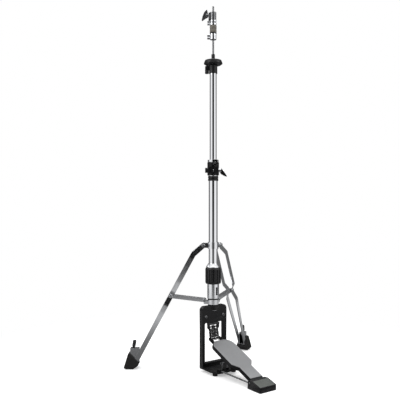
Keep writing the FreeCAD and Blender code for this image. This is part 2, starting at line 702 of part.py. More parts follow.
# ---------------------------------------------------------------- cymbal seat
def tilter_x():
    return -(HOLDER_R + TILTER_KNOB_R + GAP)


def seat_holder():
    """The holder on the upper tube: trunnions carry the seat, a side block the tilter screw."""
    top = HOLDER_Z + HOLDER_HEIGHT
    x = tilter_x()
    body = upright(HOLDER_R, HOLDER_Z, top)
    side = block(x - 6, -HOLDER_R + 3, -6, 6, HOLDER_Z + 12, HOLDER_Z + 23)
    side = softened(side, 3.0, lambda e: e.BoundBox.XMax < x - 5 and is_upright(e))
    tongue = upright(8.0, top - 1, SEAT_PIVOT_Z + 3)
    trunnions = fore_aft(TRUNNION_R, -14.0, 14.0, 0, SEAT_PIVOT_Z)
    socket = upright(UPPER_TUBE_R, HOLDER_Z - 1, UPPER_TUBE_TOP)
    way = upright(SLEEVE_BORE_R, HOLDER_Z, SEAT_PIVOT_Z + 4)
    screw = upright(TILTER_SCREW_R + RUN, HOLDER_Z, HOLDER_Z + 30, x, 0)
    return turned(cut(fused(body, side, tongue, trunnions), socket, way, screw), HEAD_TURN)


def tilter_screw():
    """The thumb screw that lifts one side of the seat."""
    x = tilter_x()
    knob = upright(TILTER_KNOB_R, HOLDER_Z, HOLDER_Z + 12 - GAP, x, 0)
    shank = upright(TILTER_SCREW_R, HOLDER_Z, SEAT_Z - GAP, x, 0)
    return turned(fused(knob, shank), HEAD_TURN)


def seat_cup():
    """A dished cup with a recess that turns on the holder's trunnions."""
    lip = 4.0
    under = Part.makeCone(SEAT_R - 6, SEAT_R, lip, V(0, 0, SEAT_Z), UP)
    side = Part.makeCone(SEAT_R, SEAT_R - 1.5, SEAT_HEIGHT - lip, V(0, 0, SEAT_Z + lip), UP)
    cup = fused(under, side)
    recess = upright(11.0, SEAT_Z - 1, SEAT_PIVOT_Z + 4)
    sleeve = upright(SLEEVE_R, SEAT_Z, FELT_Z + 1)
    holes = fore_aft(TRUNNION_R + RUN, -14.5, 14.5, 0, SEAT_PIVOT_Z)
    return turned(cut(cup, recess, sleeve, holes), HEAD_TURN)


def seat_felt():
    return ring(SEAT_FELT_R, SLEEVE_R, FELT_Z, SEAT_TOP)


def seat_sleeve():
    return ring(SLEEVE_R, SLEEVE_BORE_R, SEAT_PIVOT_Z + 4, SEAT_TOP + SLEEVE_ABOVE_FELT)


# ---------------------------------------------------------------- clutch, from its top down
NUT_Z = CLUTCH_TOP - 26.0  # underside of the clutch body
UPPER_NUT_HEIGHT = 5.0
LOWER_NUT_Z = NUT_Z - 15.0
CLUTCH_FELT_TOP = LOWER_NUT_Z - 1.0
CLUTCH_WASHER_Z = CLUTCH_FELT_TOP - 2 * CLUTCH_FELT_HEIGHT - 0.5 - 4.0
BOTTOM_NUT_TOP = CLUTCH_WASHER_Z - GAP
BOTTOM_NUT_Z = BOTTOM_NUT_TOP - 18.0


def clutch_body():
    """The head that the wing screw clamps on the pull rod, with the threaded tube below it."""
    top = CLUTCH_TOP
    barrel = upright(CLUTCH_R, NUT_Z, top)
    boss = block(-15, 0, -6.5, 6.5, NUT_Z + 2, top - 2)
    boss = softened(boss, 2.0, lambda e: e.BoundBox.XMax < -14 and is_upright(e))
    tube = upright(CLUTCH_TUBE_R, BOTTOM_NUT_Z + 3, NUT_Z + 1)
    bore = upright(ROD_R + RUN, BOTTOM_NUT_Z, top + 1)
    screw = across(ROD_R + RUN, -20, -5.0, 0, top - 10)
    return turned(cut(fused(barrel, boss, tube), bore, screw), HEAD_TURN)


def clutch_wing_screw():
    """The screw with a broad leaf-shaped wing, in the clutch body's side."""
    z = CLUTCH_TOP - 10
    shank = across(ROD_R, -18.0, -5.5, 0, z)
    hub = across(5.5, -23.0, -15 - GAP, 0, z)
    leaf = [
        (-16.5, -6),
        (-16.5, 6),
        (-19.5, 18.5),
        (-22, 18),
        (-29, 10),
        (-34, -2),
        (-37, -15),
        (-34, -17.5),
        (-26, -11),
    ]
    wing = prism([(x, -1.6, z + rise) for x, rise in leaf], (0, 3.2, 0))
    return turned(fused(shank, hub, wing), HEAD_TURN)


def clutch_ring_nuts():
    """Two slim ring nuts on the threaded tube; the lower one has a two-lobed wing."""
    upper = ring(CLUTCH_R, CLUTCH_TUBE_R, NUT_Z - UPPER_NUT_HEIGHT, NUT_Z)
    lower = upright(CLUTCH_R + 0.4, LOWER_NUT_Z, LOWER_NUT_Z + 6)
    lobes = [across(4.0, -18.5, -CLUTCH_R + 2, 0, LOWER_NUT_Z + z) for z in (3.5, 11.0)]
    clear = upright(CLUTCH_R + 0.3, LOWER_NUT_Z + 6, NUT_Z + 1)
    bore = upright(CLUTCH_TUBE_R, LOWER_NUT_Z - 1, NUT_Z + 1)
    return [turned(upper, HEAD_TURN), turned(cut(fused(lower, *lobes), clear, bore), HEAD_TURN)]


def clutch_felts():
    low = CLUTCH_FELT_TOP - 2 * CLUTCH_FELT_HEIGHT - 0.5
    high = CLUTCH_FELT_TOP - CLUTCH_FELT_HEIGHT
    return [ring(CLUTCH_FELT_R, CLUTCH_TUBE_R, z, z + CLUTCH_FELT_HEIGHT) for z in (high, low)]


def clutch_washer():
    return ring(CLUTCH_FELT_R - 0.4, CLUTCH_TUBE_R, CLUTCH_WASHER_Z, CLUTCH_WASHER_Z + 4)


def clutch_bottom_nut():
    """The nut below the felts, with a two-lobed wing on one side."""
    nut = upright(CLUTCH_R + 0.2, BOTTOM_NUT_Z, BOTTOM_NUT_TOP)
    lobes = [across(4.0, -19.0, -CLUTCH_R + 2, 0, BOTTOM_NUT_Z + z) for z in (4.5, 13.0)]
    bore = upright(CLUTCH_TUBE_R + RUN, BOTTOM_NUT_Z - 1, BOTTOM_NUT_TOP + 1)
    return turned(fused(nut, *lobes).cut(bore), HEAD_TURN)


# ---------------------------------------------------------------- legs, made along +X and then turned
def strip(stations, width, thickness):
    """A flat bar through (out, sideways, height) stations, mitred in the upright plane."""
    wires = []
    for i, here in enumerate(stations):
        before = stations[max(i - 1, 0)]
        after = stations[min(i + 1, len(stations) - 1)]
        steps = [(b[0] - a[0], b[2] - a[2]) for a, b in ((before, here), (here, after)) if a is not b]
        angles = [math.atan2(dz, dx) for dx, dz in steps]
        mean = sum(angles) / len(angles)
        spread = (max(angles) - min(angles)) / 2
        half = width / 2 / math.cos(spread)
        nx = -math.sin(mean) * half
        nz = math.cos(mean) * half
        corners = []
        for side, lift in ((-1, -1), (1, -1), (1, 1), (-1, 1)):
            corners.append(V(here[0] + lift * nx, here[1] + side * thickness / 2, here[2] + lift * nz))
        wires.append(Part.makePolygon(corners + [corners[0]]))
    return Part.makeLoft(wires, True, True)


def leg_bar(side):
    """One bar of a leg: a pivot eye, a flare, a pinch at the stay's pivot, and a straight run to the foot."""
    eye = side * (LEG_LUG_HALF + GAP + BAR_THICKNESS / 2)
    pinch = side * (STAY_HALF_WIDTH + GAP + BAR_THICKNESS / 2)
    wide = side * 18.0
    foot = side * (LEG_LUG_HALF + 1.0 + BAR_THICKNESS / 2)
    stations = [
        (LEG_PIVOT_OUT, eye, LEG_PIVOT_Z),
        (LEG_PIVOT_OUT + 9, eye, LEG_PIVOT_Z - 8),
        (LEG_BEND_OUT, wide, LEG_BEND_Z),
        (LEG_UPPER_KINK_OUT, wide, LEG_UPPER_KINK_Z),
        (STAY_OUTER_OUT - 3, pinch, STAY_OUTER_Z + 5.6),
        (STAY_OUTER_OUT + 3, pinch, STAY_OUTER_Z - 5.6),
        (LEG_LOWER_KINK_OUT, wide - side * 1.0, LEG_LOWER_KINK_Z),
        (LEG_END_OUT - 12, foot, LEG_END_Z + 22.5),
        (LEG_END_OUT, foot, LEG_END_Z),
    ]
    bar = strip(stations, BAR_WIDTH, BAR_THICKNESS)
    thin = BAR_THICKNESS / 2
    eye_disc = fore_aft(BAR_WIDTH / 2, eye - thin, eye + thin, LEG_PIVOT_OUT, LEG_PIVOT_Z)
    stub_start = side * (STAY_HALF_WIDTH + GAP + BAR_THICKNESS)
    low, high = sorted((stub_start - side * 0.5, stub_start + side * 2.5))
    rivet = fore_aft(5.0, low, high, STAY_OUTER_OUT, STAY_OUTER_Z)
    hole = fore_aft(LEG_BOLT_R + RUN, -30, 30, LEG_PIVOT_OUT, LEG_PIVOT_Z)
    return fused(bar, eye_disc, rivet).cut(hole)


def leg_collar():
    """The collar that slides on the lower tube, with a lug for each leg."""
    low = LEG_PIVOT_Z - LEG_COLLAR_HEIGHT / 2
    high = low + LEG_COLLAR_HEIGHT
    parts = [upright(LOWER_TUBE_R + 2.8, low, high)]
    for angle in LEG_ANGLES.values():
        lug = fused(
            fore_aft(7.5, -LEG_LUG_HALF, LEG_LUG_HALF, LEG_PIVOT_OUT, LEG_PIVOT_Z),
            block(0, LEG_PIVOT_OUT, -LEG_LUG_HALF, LEG_LUG_HALF, LEG_PIVOT_Z - 7.5, LEG_PIVOT_Z + 7.5),
        )
        lug = lug.cut(fore_aft(LEG_BOLT_R, -20, 20, LEG_PIVOT_OUT, LEG_PIVOT_Z))
        parts.append(turned(lug, angle))
    return fused(*parts).cut(upright(LOWER_TUBE_R + RUN, low - 1, high + 1))


def leg_bolts():
    """One bolt and nut through each lug and its two bars."""
    outside = LEG_LUG_HALF + GAP + BAR_THICKNESS + GAP
    bolts = []
    for angle in LEG_ANGLES.values():
        shank = fore_aft(LEG_BOLT_R, -outside - 5, outside + 5, LEG_PIVOT_OUT, LEG_PIVOT_Z)
        head = fore_aft(6.5, -outside - 5, -outside, LEG_PIVOT_OUT, LEG_PIVOT_Z)
        nut = fore_aft(6.0, outside, outside + 5, LEG_PIVOT_OUT, LEG_PIVOT_Z)
        bolts.append(turned(fused(shank, head, nut), angle))
    return bolts


def stay_collar():
    """The collar that swivels on the neck tube, with a pair of ears for each stay."""
    low = STAY_COLLAR_Z
    high = low + STAY_COLLAR_HEIGHT
    inner = STAY_HALF_WIDTH + GAP
    parts = [upright(NECK_R + 4.7, low, high)]
    for angle in LEG_ANGLES.values():
        for side in (-1, 1):
            a, b = sorted((side * inner, side * (inner + 3)))
            ear = fused(
                fore_aft(6.2, a, b, STAY_INNER_OUT, STAY_PIVOT_Z),
                block(NECK_R, STAY_INNER_OUT + 2, a, b, low + 1, STAY_PIVOT_Z - 1),
            )
            pin_hole = fore_aft(STAY_PIN_R, a - 1, b + 1, STAY_INNER_OUT, STAY_PIVOT_Z)
            parts.append(turned(ear.cut(pin_hole), angle))
    return fused(*parts).cut(upright(NECK_R + RUN, low - 1, high + 1))


def stay_pins():
    """A headed pin through each pair of ears."""
    outside = STAY_HALF_WIDTH + GAP + 3
    pins = []
    for angle in LEG_ANGLES.values():
        shank = fore_aft(STAY_PIN_R, -outside, outside, STAY_INNER_OUT, STAY_PIVOT_Z)
        heads = [
            fore_aft(4.5, a, a + 2, STAY_INNER_OUT, STAY_PIVOT_Z) for a in (-outside - 2, outside)
        ]
        pins.append(turned(fused(shank, *heads), angle))
    return pins


def stay():
    """A channel between the collar's ears and the leg's pinch, open underneath."""
    run = STAY_OUTER_OUT - STAY_INNER_OUT
    rise = STAY_OUTER_Z - STAY_PIVOT_Z
    length = math.hypot(run, rise)
    half = STAY_HEIGHT / 2
    outside = fused(
        block(0, length, -STAY_HALF_WIDTH, STAY_HALF_WIDTH, -half, half),
        fore_aft(half, -STAY_HALF_WIDTH, STAY_HALF_WIDTH, 0, 0),
        fore_aft(half, -STAY_HALF_WIDTH, STAY_HALF_WIDTH, length, 0),
    )
    inner = STAY_HALF_WIDTH - STAY_SHEET
    hollow = block(-20, length + 20, -inner, inner, -half - 1, half - STAY_SHEET)
    pin_hole = fore_aft(STAY_PIN_R + RUN, -20, 20, 0, 0)
    open_hole = fore_aft(4.0, -20, 20, length, 0)
    channel = cut(outside, hollow, pin_hole, open_hole)
    channel.rotate(V(0, 0, 0), ALONG_Y, -math.degrees(math.atan2(rise, run)))
    channel.translate(V(STAY_INNER_OUT, 0, STAY_PIVOT_Z))
    return channel


def bolt_axis(bottom, top, radius):
    """A cylinder on the leaning axis of the foot bolt, between two heights."""
    lean = math.radians(FOOT_BOLT_LEAN)
    base = V(FOOT_OUT - 10 + (FOOT_BOLT_TOP - bottom) * math.tan(lean), 0, bottom)
    direction = V(-math.tan(lean), 0, 1)
    return Part.makeCylinder(radius, (top - bottom) / math.cos(lean), base, direction)


def foot_bracket():
    """A folded plate between the bars' ends that holds the foot bolt."""
    half = LEG_LUG_HALF + 1.0
    top = block(FOOT_OUT - 24, FOOT_OUT + 4, -half, half, 62, 66)
    cheeks = [block(FOOT_OUT - 24, FOOT_OUT + 4, a, a + 2, 24, 64) for a in (-half, half - 2)]
    base = block(FOOT_OUT - 14, FOOT_OUT + 4, -half, half, 20, 24)
    return fused(top, base, *cheeks).cut(bolt_axis(0, 100, FOOT_BOLT_R + RUN))


def foot_boot(bars):
    """The rubber boot around the ends of the bars, with an open socket for the bracket."""
    back = FOOT_OUT - FOOT_LENGTH / 2
    front = FOOT_OUT + FOOT_LENGTH / 2
    half = FOOT_WIDTH / 2
    top = 53.0
    side_view = [
        (front - 6, 0),
        (front - 1, 6),
        (front - 15, top),
        (back + 4, 24),
        (back, 14),
        (back + 18, 0),
    ]
    boot = prism([(x, -half, z) for x, z in side_view], (0, FOOT_WIDTH, 0))
    boot = softened(boot, 3.0, lambda e: e.BoundBox.YLength > FOOT_WIDTH - 1)
    crown = half - 7
    end_view = [(-half + 6, 0), (half - 6, 0), (half, 7), (crown, top), (-crown, top), (-half, 7)]
    taper = prism([(back - 1, y, z) for y, z in end_view], (FOOT_LENGTH + 2, 0, 0))
    inside = LEG_LUG_HALF + 1.0
    socket = block(FOOT_OUT - 24, FOOT_OUT + 4, -inside, inside, 20, top + 1)
    return cut(boot.common(taper), *bars, socket, bolt_axis(4.0, 45, FOOT_BOLT_R + 0.4))


def foot_bolt():
    """The spike bolt of the foot: a knurled head on a leaning shank."""
    shank = bolt_axis(8.0, 86.0, FOOT_BOLT_R)
    head = bolt_axis(70.0, FOOT_BOLT_TOP, 5.6)
    return fused(shank, head)


# ---------------------------------------------------------------- write every node
os.makedirs("parts", exist_ok=True)

save("pedal_frame", pedal_frame())
save("frame_bolts", *frame_bolts())
save("base_plate", base_plate())
save("floor_pads", *floor_pads())
save("spur_left", spur(-1))
save("spur_right", spur(1))
save("radius_rods", *radius_rods())
save("heel_plate", heel_plate())
save("heel_pad", heel_pad_space())
save("heel_hinge_pin", heel_hinge_pin())
save("footboard_carrier", footboard_carrier())
save("footboard_tread", footboard_tread())
save("toe_clamp", toe_clamp())
save("drive_chain", drive_chain())
save("rod_end", rod_end())
save("pull_rod", pull_rod())
save("spring_cup", spring_cup())
save("return_spring", return_spring())
save("spring_seat", spring_seat())
save("neck_tube", neck_tube())
save("thrust_ring", thrust_ring())
save("spring_housing", spring_housing())
save("tension_dial", tension_dial())
save("dial_cone", dial_cone())
save("lower_tube", lower_tube())
save("clamp_sleeve", clamp_sleeve())
save("clamp_ring", clamp_ring())
save("clamp_body", clamp_body())
save("clamp_nut", clamp_nut())
save("clamp_screw", clamp_screw())
save("upper_tube", upper_tube())
save("memory_lock", memory_lock())
save("memory_lock_bolt", memory_lock_bolt())
save("seat_holder", seat_holder())
save("tilter_screw", tilter_screw())
save("seat_cup", seat_cup())
save("seat_felt", seat_felt())
save("seat_sleeve", seat_sleeve())
save("clutch_body", clutch_body())
save("clutch_wing_screw", clutch_wing_screw())
save("clutch_ring_nuts", *clutch_ring_nuts())
save("clutch_felts", *clutch_felts())
save("clutch_washer", clutch_washer())
save("clutch_bottom_nut", clutch_bottom_nut())
save("leg_collar", leg_collar())
save("leg_bolts", *leg_bolts())
save("stay_collar", stay_collar())
save("stay_pins", *stay_pins())

front_bar = leg_bar(-1)
rear_bar = leg_bar(1)
bracket = foot_bracket()
boot = foot_boot((front_bar, rear_bar))
for leg_name, leg_angle in LEG_ANGLES.items():
    save(leg_name + "_leg_bars", turned(front_bar, leg_angle), turned(rear_bar, leg_angle))
    save(leg_name + "_stay", turned(stay(), leg_angle))
    save(leg_name + "_foot_bracket", turned(bracket, leg_angle))
    save(leg_name + "_foot_boot", turned(boot, leg_angle))
    save(leg_name + "_foot_bolt", turned(foot_bolt(), leg_angle))
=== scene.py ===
# %% [markdown]
# # A hi-hat stand
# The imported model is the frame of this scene. It holds every piece at its real size and place, and it moves.
# This notebook dresses it: it turns the tubes as smooth lathe work, softens the edges of the cast and pressed
# pieces, lays out what repeats with Geometry Nodes, and gives each metal, rubber and felt its own finish.

# %% Load the frame
import json
import math

import bmesh
import bpy
from mathutils import Matrix, Vector


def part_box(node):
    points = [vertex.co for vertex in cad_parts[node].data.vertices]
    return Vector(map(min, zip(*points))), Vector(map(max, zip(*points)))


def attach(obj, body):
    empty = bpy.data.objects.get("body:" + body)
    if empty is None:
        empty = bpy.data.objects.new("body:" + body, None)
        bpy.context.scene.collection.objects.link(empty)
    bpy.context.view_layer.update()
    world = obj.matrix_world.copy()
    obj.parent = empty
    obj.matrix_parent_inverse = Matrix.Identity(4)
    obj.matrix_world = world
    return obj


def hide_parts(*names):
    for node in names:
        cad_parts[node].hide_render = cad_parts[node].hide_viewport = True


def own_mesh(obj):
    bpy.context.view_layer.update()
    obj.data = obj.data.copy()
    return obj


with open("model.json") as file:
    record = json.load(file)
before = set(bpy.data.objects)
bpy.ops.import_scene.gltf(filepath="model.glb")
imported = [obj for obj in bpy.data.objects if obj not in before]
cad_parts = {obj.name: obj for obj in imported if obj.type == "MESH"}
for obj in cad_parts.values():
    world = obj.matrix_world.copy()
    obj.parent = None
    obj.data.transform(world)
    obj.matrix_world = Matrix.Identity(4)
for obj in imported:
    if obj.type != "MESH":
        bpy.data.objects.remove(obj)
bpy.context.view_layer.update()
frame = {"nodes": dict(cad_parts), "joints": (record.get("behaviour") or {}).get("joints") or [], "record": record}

BODY_OF = {node: body for body, nodes in frame["record"]["behaviour"]["bodies"].items() for node in nodes}
SLOT_OF = {part["node"]: part["material_slot"] for part in frame["record"]["subparts"]}
JOINTS = {joint["name"]: joint for joint in frame["joints"]}
MM = 0.001


# %% [markdown]
# ## Where things are
# Positions are never typed in from outside: they come from the boxes of the nodes and the axes of the joints.
# Pieces are drawn in millimetres and turned into metres when they are handed over.


# %% Places read from the frame
def span(node):
    """The box of a node in millimetres: (low corner, high corner)."""
    low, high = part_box(node)
    return low / MM, high / MM


def radius(node):
    low, high = span(node)
    return (high.x - low.x) / 2


TO_METRES = Matrix.Scale(MM, 4)


def aimed(axis):
    """Turns a drawing so that its Z runs along an axis."""
    z = axis.normalized()
    x = Vector((1, 0, 0))
    x = (x - z * x.dot(z)).normalized()
    return Matrix((x, z.cross(x), z)).transposed().to_4x4()


def pivot(joint):
    """A joint's point in millimetres, and its axis."""
    return Vector(JOINTS[joint]["pos_m"]) / MM, Vector(JOINTS[joint]["axis"])


def corners(node):
    """Every corner of a node's mesh in millimetres."""
    return [vertex.co / MM for vertex in frame["nodes"][node].data.vertices]


ROUNDS_TO_SETTLE = 12


def ends(node, guess):
    """The middles of the two flat ends of a pin-like node, whose longest spread is along its axis."""
    points = corners(node)
    middle = sum(points, Vector()) / len(points)
    along = Vector(guess).normalized()
    arms = [point - middle for point in points]
    for _ in range(ROUNDS_TO_SETTLE):
        along = sum((arm * arm.dot(along) for arm in arms), Vector()).normalized()
    far = [arm.dot(along) for arm in arms]
    return middle + along * min(far), middle + along * max(far)


def extent(node, point, axis, within):
    """How far a node reaches along an axis on either side of a point, near that axis."""
    reach = []
    for corner in corners(node):
        offset = corner - point
        along = offset.dot(axis)
        if (offset - axis * along).length < within:
            reach.append(along)
    return min(reach), max(reach)


print("the clamp screw turns about", [round(c, 2) for c in pivot("clamp_screw_spin")[1]])

# %% [markdown]
# ## Finishes
# Two small shader groups do the work that every finish shares. `surface marks` gives masks for finger
# smudges, dust that settles on faces that look up, and bare edges. `grain` turns fine noise into a normal.
# The masks feed colour and roughness; whatever is the same all over is set on the shader itself.


# %% Node helpers
def add(tree, kind, inputs=None, **attributes):
    """A new node with its settings and its unlinked inputs."""
    node = tree.nodes.new(kind)
    for key, value in attributes.items():
        setattr(node, key, value)
    for key, value in (inputs or {}).items():
        node.inputs[key].default_value = value
    return node


def shader_group(name, inputs, outputs):
    tree = bpy.data.node_groups.new(name, "ShaderNodeTree")
    for label, value in inputs:
        socket = tree.interface.new_socket(label, in_out="INPUT", socket_type="NodeSocketFloat")
        socket.default_value = value
    for label, kind in outputs:
        tree.interface.new_socket(label, in_out="OUTPUT", socket_type=kind)
    return tree, tree.nodes.new("NodeGroupInput"), tree.nodes.new("NodeGroupOutput")


# %% The marks that use leaves on a surface
def surface_marks():
    tree, given, out = shader_group(
        "surface marks",
        [("Scale", 30.0), ("Dust", 0.3), ("Wear", 0.5)],
        [("Smudge", "NodeSocketFloat"), ("Dust", "NodeSocketFloat"), ("Edge", "NodeSocketFloat")],
    )
    link = tree.links.new
    where = add(tree, "ShaderNodeTexCoord")
    cloud = add(tree, "ShaderNodeTexNoise", {"Detail": 5.0, "Roughness": 0.6})
    link(where.outputs["Object"], cloud.inputs["Vector"])
    link(given.outputs["Scale"], cloud.inputs["Scale"])
    smudge = add(tree, "ShaderNodeMapRange", {"From Min": 0.42, "From Max": 0.68})
    link(cloud.outputs["Fac"], smudge.inputs["Value"])
    link(smudge.outputs["Result"], out.inputs["Smudge"])

    specks = add(tree, "ShaderNodeTexNoise", {"Scale": 900.0, "Detail": 3.0, "Roughness": 0.7})
    link(where.outputs["Object"], specks.inputs["Vector"])
    speck = add(tree, "ShaderNodeMapRange", {"From Min": 0.45, "From Max": 0.75})
    link(specks.outputs["Fac"], speck.inputs["Value"])
    facing = add(tree, "ShaderNodeSeparateXYZ")
    link(where.outputs["Normal"], facing.inputs["Vector"])
    upward = add(tree, "ShaderNodeMapRange",
                 {"From Min": -0.2, "From Max": 1.0, "To Min": 0.15, "To Max": 1.0})
    link(facing.outputs["Z"], upward.inputs["Value"])
    settled = add(tree, "ShaderNodeMath", operation="MULTIPLY")
    link(speck.outputs["Result"], settled.inputs[0])
    link(upward.outputs["Result"], settled.inputs[1])
    dust = add(tree, "ShaderNodeMath", operation="MULTIPLY", use_clamp=True)
    link(settled.outputs["Value"], dust.inputs[0])
    link(given.outputs["Dust"], dust.inputs[1])
    link(dust.outputs["Value"], out.inputs["Dust"])

    shape = add(tree, "ShaderNodeNewGeometry")
    edge = add(tree, "ShaderNodeMapRange", {"From Min": 0.53, "From Max": 0.60})
    link(shape.outputs["Pointiness"], edge.inputs["Value"])
    broken = add(tree, "ShaderNodeMath", operation="MULTIPLY")
    link(edge.outputs["Result"], broken.inputs[0])
    link(cloud.outputs["Fac"], broken.inputs[1])
    worn = add(tree, "ShaderNodeMath", operation="MULTIPLY", use_clamp=True)
    link(broken.outputs["Value"], worn.inputs[0])
    link(given.outputs["Wear"], worn.inputs[1])
    link(worn.outputs["Value"], out.inputs["Edge"])
    return tree


def grain():
    tree, given, out = shader_group(
        "grain",
        [("Scale", 600.0), ("Depth", 0.00002), ("Stretch", 1.0)],
        [("Normal", "NodeSocketVector"), ("Height", "NodeSocketFloat")],
    )
    link = tree.links.new
    where = add(tree, "ShaderNodeTexCoord")
    squeeze = add(tree, "ShaderNodeCombineXYZ", {"X": 1.0, "Y": 1.0})
    link(given.outputs["Stretch"], squeeze.inputs["Z"])
    along = add(tree, "ShaderNodeVectorMath", operation="MULTIPLY")
    link(where.outputs["Object"], along.inputs[0])
    link(squeeze.outputs["Vector"], along.inputs[1])
    noise = add(tree, "ShaderNodeTexNoise", {"Detail": 4.0, "Roughness": 0.55})
    link(along.outputs["Vector"], noise.inputs["Vector"])
    link(given.outputs["Scale"], noise.inputs["Scale"])
    bump = add(tree, "ShaderNodeBump", {"Strength": 1.0})
    link(noise.outputs["Fac"], bump.inputs["Height"])
    link(given.outputs["Depth"], bump.inputs["Distance"])
    link(bump.outputs["Normal"], out.inputs["Normal"])
    link(noise.outputs["Fac"], out.inputs["Height"])
    return tree


MARKS = surface_marks()
GRAIN = grain()
print("groups:", MARKS.name, "and", GRAIN.name)


# %% [markdown]
# A finish is one Principled BSDF. Its colour runs from a base to a second tone through fine noise, goes grey
# with dust and lighter on worn edges; its roughness follows the smudges. Chrome differs from rubber only in
# the numbers, so one function writes them all and the special ones add to it.


# %% One function for every finish
DUST = (0.30, 0.29, 0.27)


def finish(name, base, tone, rough, metallic, marks, texture, dust_colour=DUST, edge_colour=None, **fixed):
    """rough: clean and smudged. marks: scale, dust, wear. texture: scale, depth in metres, stretch in Z."""
    material = bpy.data.materials.new(name)
    material.use_nodes = True
    tree = material.node_tree
    link = tree.links.new
    shader = tree.nodes["Principled BSDF"]
    shader.inputs["Metallic"].default_value = metallic
    for label, value in fixed.items():
        shader.inputs[label.replace("_", " ")].default_value = value
    mark = add(tree, "ShaderNodeGroup", node_tree=MARKS)
    for label, value in zip(("Scale", "Dust", "Wear"), marks):
        mark.inputs[label].default_value = value
    skin = add(tree, "ShaderNodeGroup", node_tree=GRAIN)
    for label, value in zip(("Scale", "Depth", "Stretch"), texture):
        skin.inputs[label].default_value = value
    link(skin.outputs["Normal"], shader.inputs["Normal"])
    colour = add(tree, "ShaderNodeMix", data_type="RGBA")
    colour.inputs["A"].default_value = (*base, 1)
    colour.inputs["B"].default_value = (*tone, 1)
    link(skin.outputs["Height"], colour.inputs["Factor"])
    dusty = add(tree, "ShaderNodeMix", data_type="RGBA")
    dusty.inputs["B"].default_value = (*dust_colour, 1)
    link(mark.outputs["Dust"], dusty.inputs["Factor"])
    link(colour.outputs["Result"], dusty.inputs["A"])
    edged = add(tree, "ShaderNodeMix", data_type="RGBA")
    edged.inputs["B"].default_value = (*(edge_colour or tone), 1)
    link(mark.outputs["Edge"], edged.inputs["Factor"])
    link(dusty.outputs["Result"], edged.inputs["A"])
    link(edged.outputs["Result"], shader.inputs["Base Color"])
    gloss = add(tree, "ShaderNodeMapRange", {"To Min": rough[0], "To Max": rough[1]})
    link(mark.outputs["Smudge"], gloss.inputs["Value"])
    link(gloss.outputs["Result"], shader.inputs["Roughness"])
    return material


# %% [markdown]
# Plated steel is almost a mirror; a ripple of a few micrometres makes it look like plate and not glass. Zinc
# is duller and cloudier. The dark chain is oiled steel.

# %% The metals
CHROME = finish("chrome plate", (0.80, 0.81, 0.83), (0.70, 0.71, 0.73), (0.02, 0.07), 1.0,
                (22.0, 0.08, 0.15), (45.0, 0.00005, 0.25))
ZINC = finish("zinc plate", (0.44, 0.45, 0.46), (0.30, 0.31, 0.32), (0.24, 0.42), 1.0,
              (60.0, 0.25, 0.6), (700.0, 0.00002, 1.0), edge_colour=(0.70, 0.70, 0.70))
GROUND_STEEL = finish("ground steel", (0.20, 0.205, 0.21), (0.13, 0.133, 0.14), (0.28, 0.42), 0.9,
                      (50.0, 0.15, 0.5), (800.0, 0.00002, 0.2), edge_colour=(0.55, 0.55, 0.56))
SHEET_CHROME = finish("plated sheet", (0.76, 0.77, 0.79), (0.60, 0.61, 0.63), (0.12, 0.24), 1.0,
                      (26.0, 0.15, 0.4), (60.0, 0.00012, 0.5), edge_colour=(0.85, 0.85, 0.86))
DARK_STEEL = finish("black screw steel", (0.10, 0.10, 0.105), (0.17, 0.17, 0.175), (0.20, 0.38), 1.0,
                    (80.0, 0.15, 0.8), (900.0, 0.00002, 1.0), edge_colour=(0.45, 0.45, 0.46))
BLACKENED = finish("oiled dark steel", (0.010, 0.010, 0.011), (0.028, 0.028, 0.031), (0.34, 0.55), 0.6,
                   (90.0, 0.10, 0.6), (900.0, 0.00003, 1.0), edge_colour=(0.16, 0.16, 0.16))
CAST_GREY = finish("cast grey tread", (0.20, 0.203, 0.21), (0.27, 0.274, 0.283), (0.36, 0.55), 0.35,
                   (35.0, 0.30, 0.8), (1500.0, 0.00004, 1.0), edge_colour=(0.52, 0.53, 0.54))
METALS = (CHROME, ZINC, GROUND_STEEL, SHEET_CHROME, DARK_STEEL, BLACKENED, CAST_GREY)
print("metals:", [metal.name for metal in METALS])

# %% [markdown]
# The black pieces are three different blacks: hard enamel with a slight orange peel on the pedal frame,
# moulded plastic with a fine spark-eroded grain on the dial and clamps, and dull rubber on what grips.

# %% The blacks
ENAMEL = finish("black enamel", (0.003, 0.003, 0.0034), (0.006, 0.006, 0.007), (0.24, 0.40), 0.0,
                (30.0, 0.04, 0.5), (320.0, 0.00004, 1.0), edge_colour=(0.07, 0.07, 0.07),
                Specular_IOR_Level=0.22)
PLASTIC = finish("black moulding", (0.003, 0.003, 0.0034), (0.008, 0.008, 0.009), (0.26, 0.42), 0.0,
                 (40.0, 0.06, 0.6), (1900.0, 0.00003, 1.0), edge_colour=(0.10, 0.10, 0.10),
                 Specular_IOR_Level=0.30)
RUBBER = finish("black rubber", (0.004, 0.004, 0.004), (0.010, 0.0098, 0.0095), (0.55, 0.80), 0.0,
                (28.0, 0.14, 0.5), (1300.0, 0.00008, 1.0), edge_colour=(0.04, 0.04, 0.039),
                Specular_IOR_Level=0.20)
HEEL_RUBBER = finish("grey green rubber", (0.070, 0.078, 0.072), (0.13, 0.142, 0.132), (0.55, 0.80), 0.0,
                     (34.0, 0.4, 0.6), (1400.0, 0.00007, 1.0))
print("blacks:", [m.name for m in (ENAMEL, PLASTIC, RUBBER, HEEL_RUBBER)])

# %% [markdown]
# Felt is pressed wool: short fibres that lie every way. A stretched noise gives the fibres, a second coarse
# one gives the mottled brown, and sheen brightens its outline as loose hairs do.


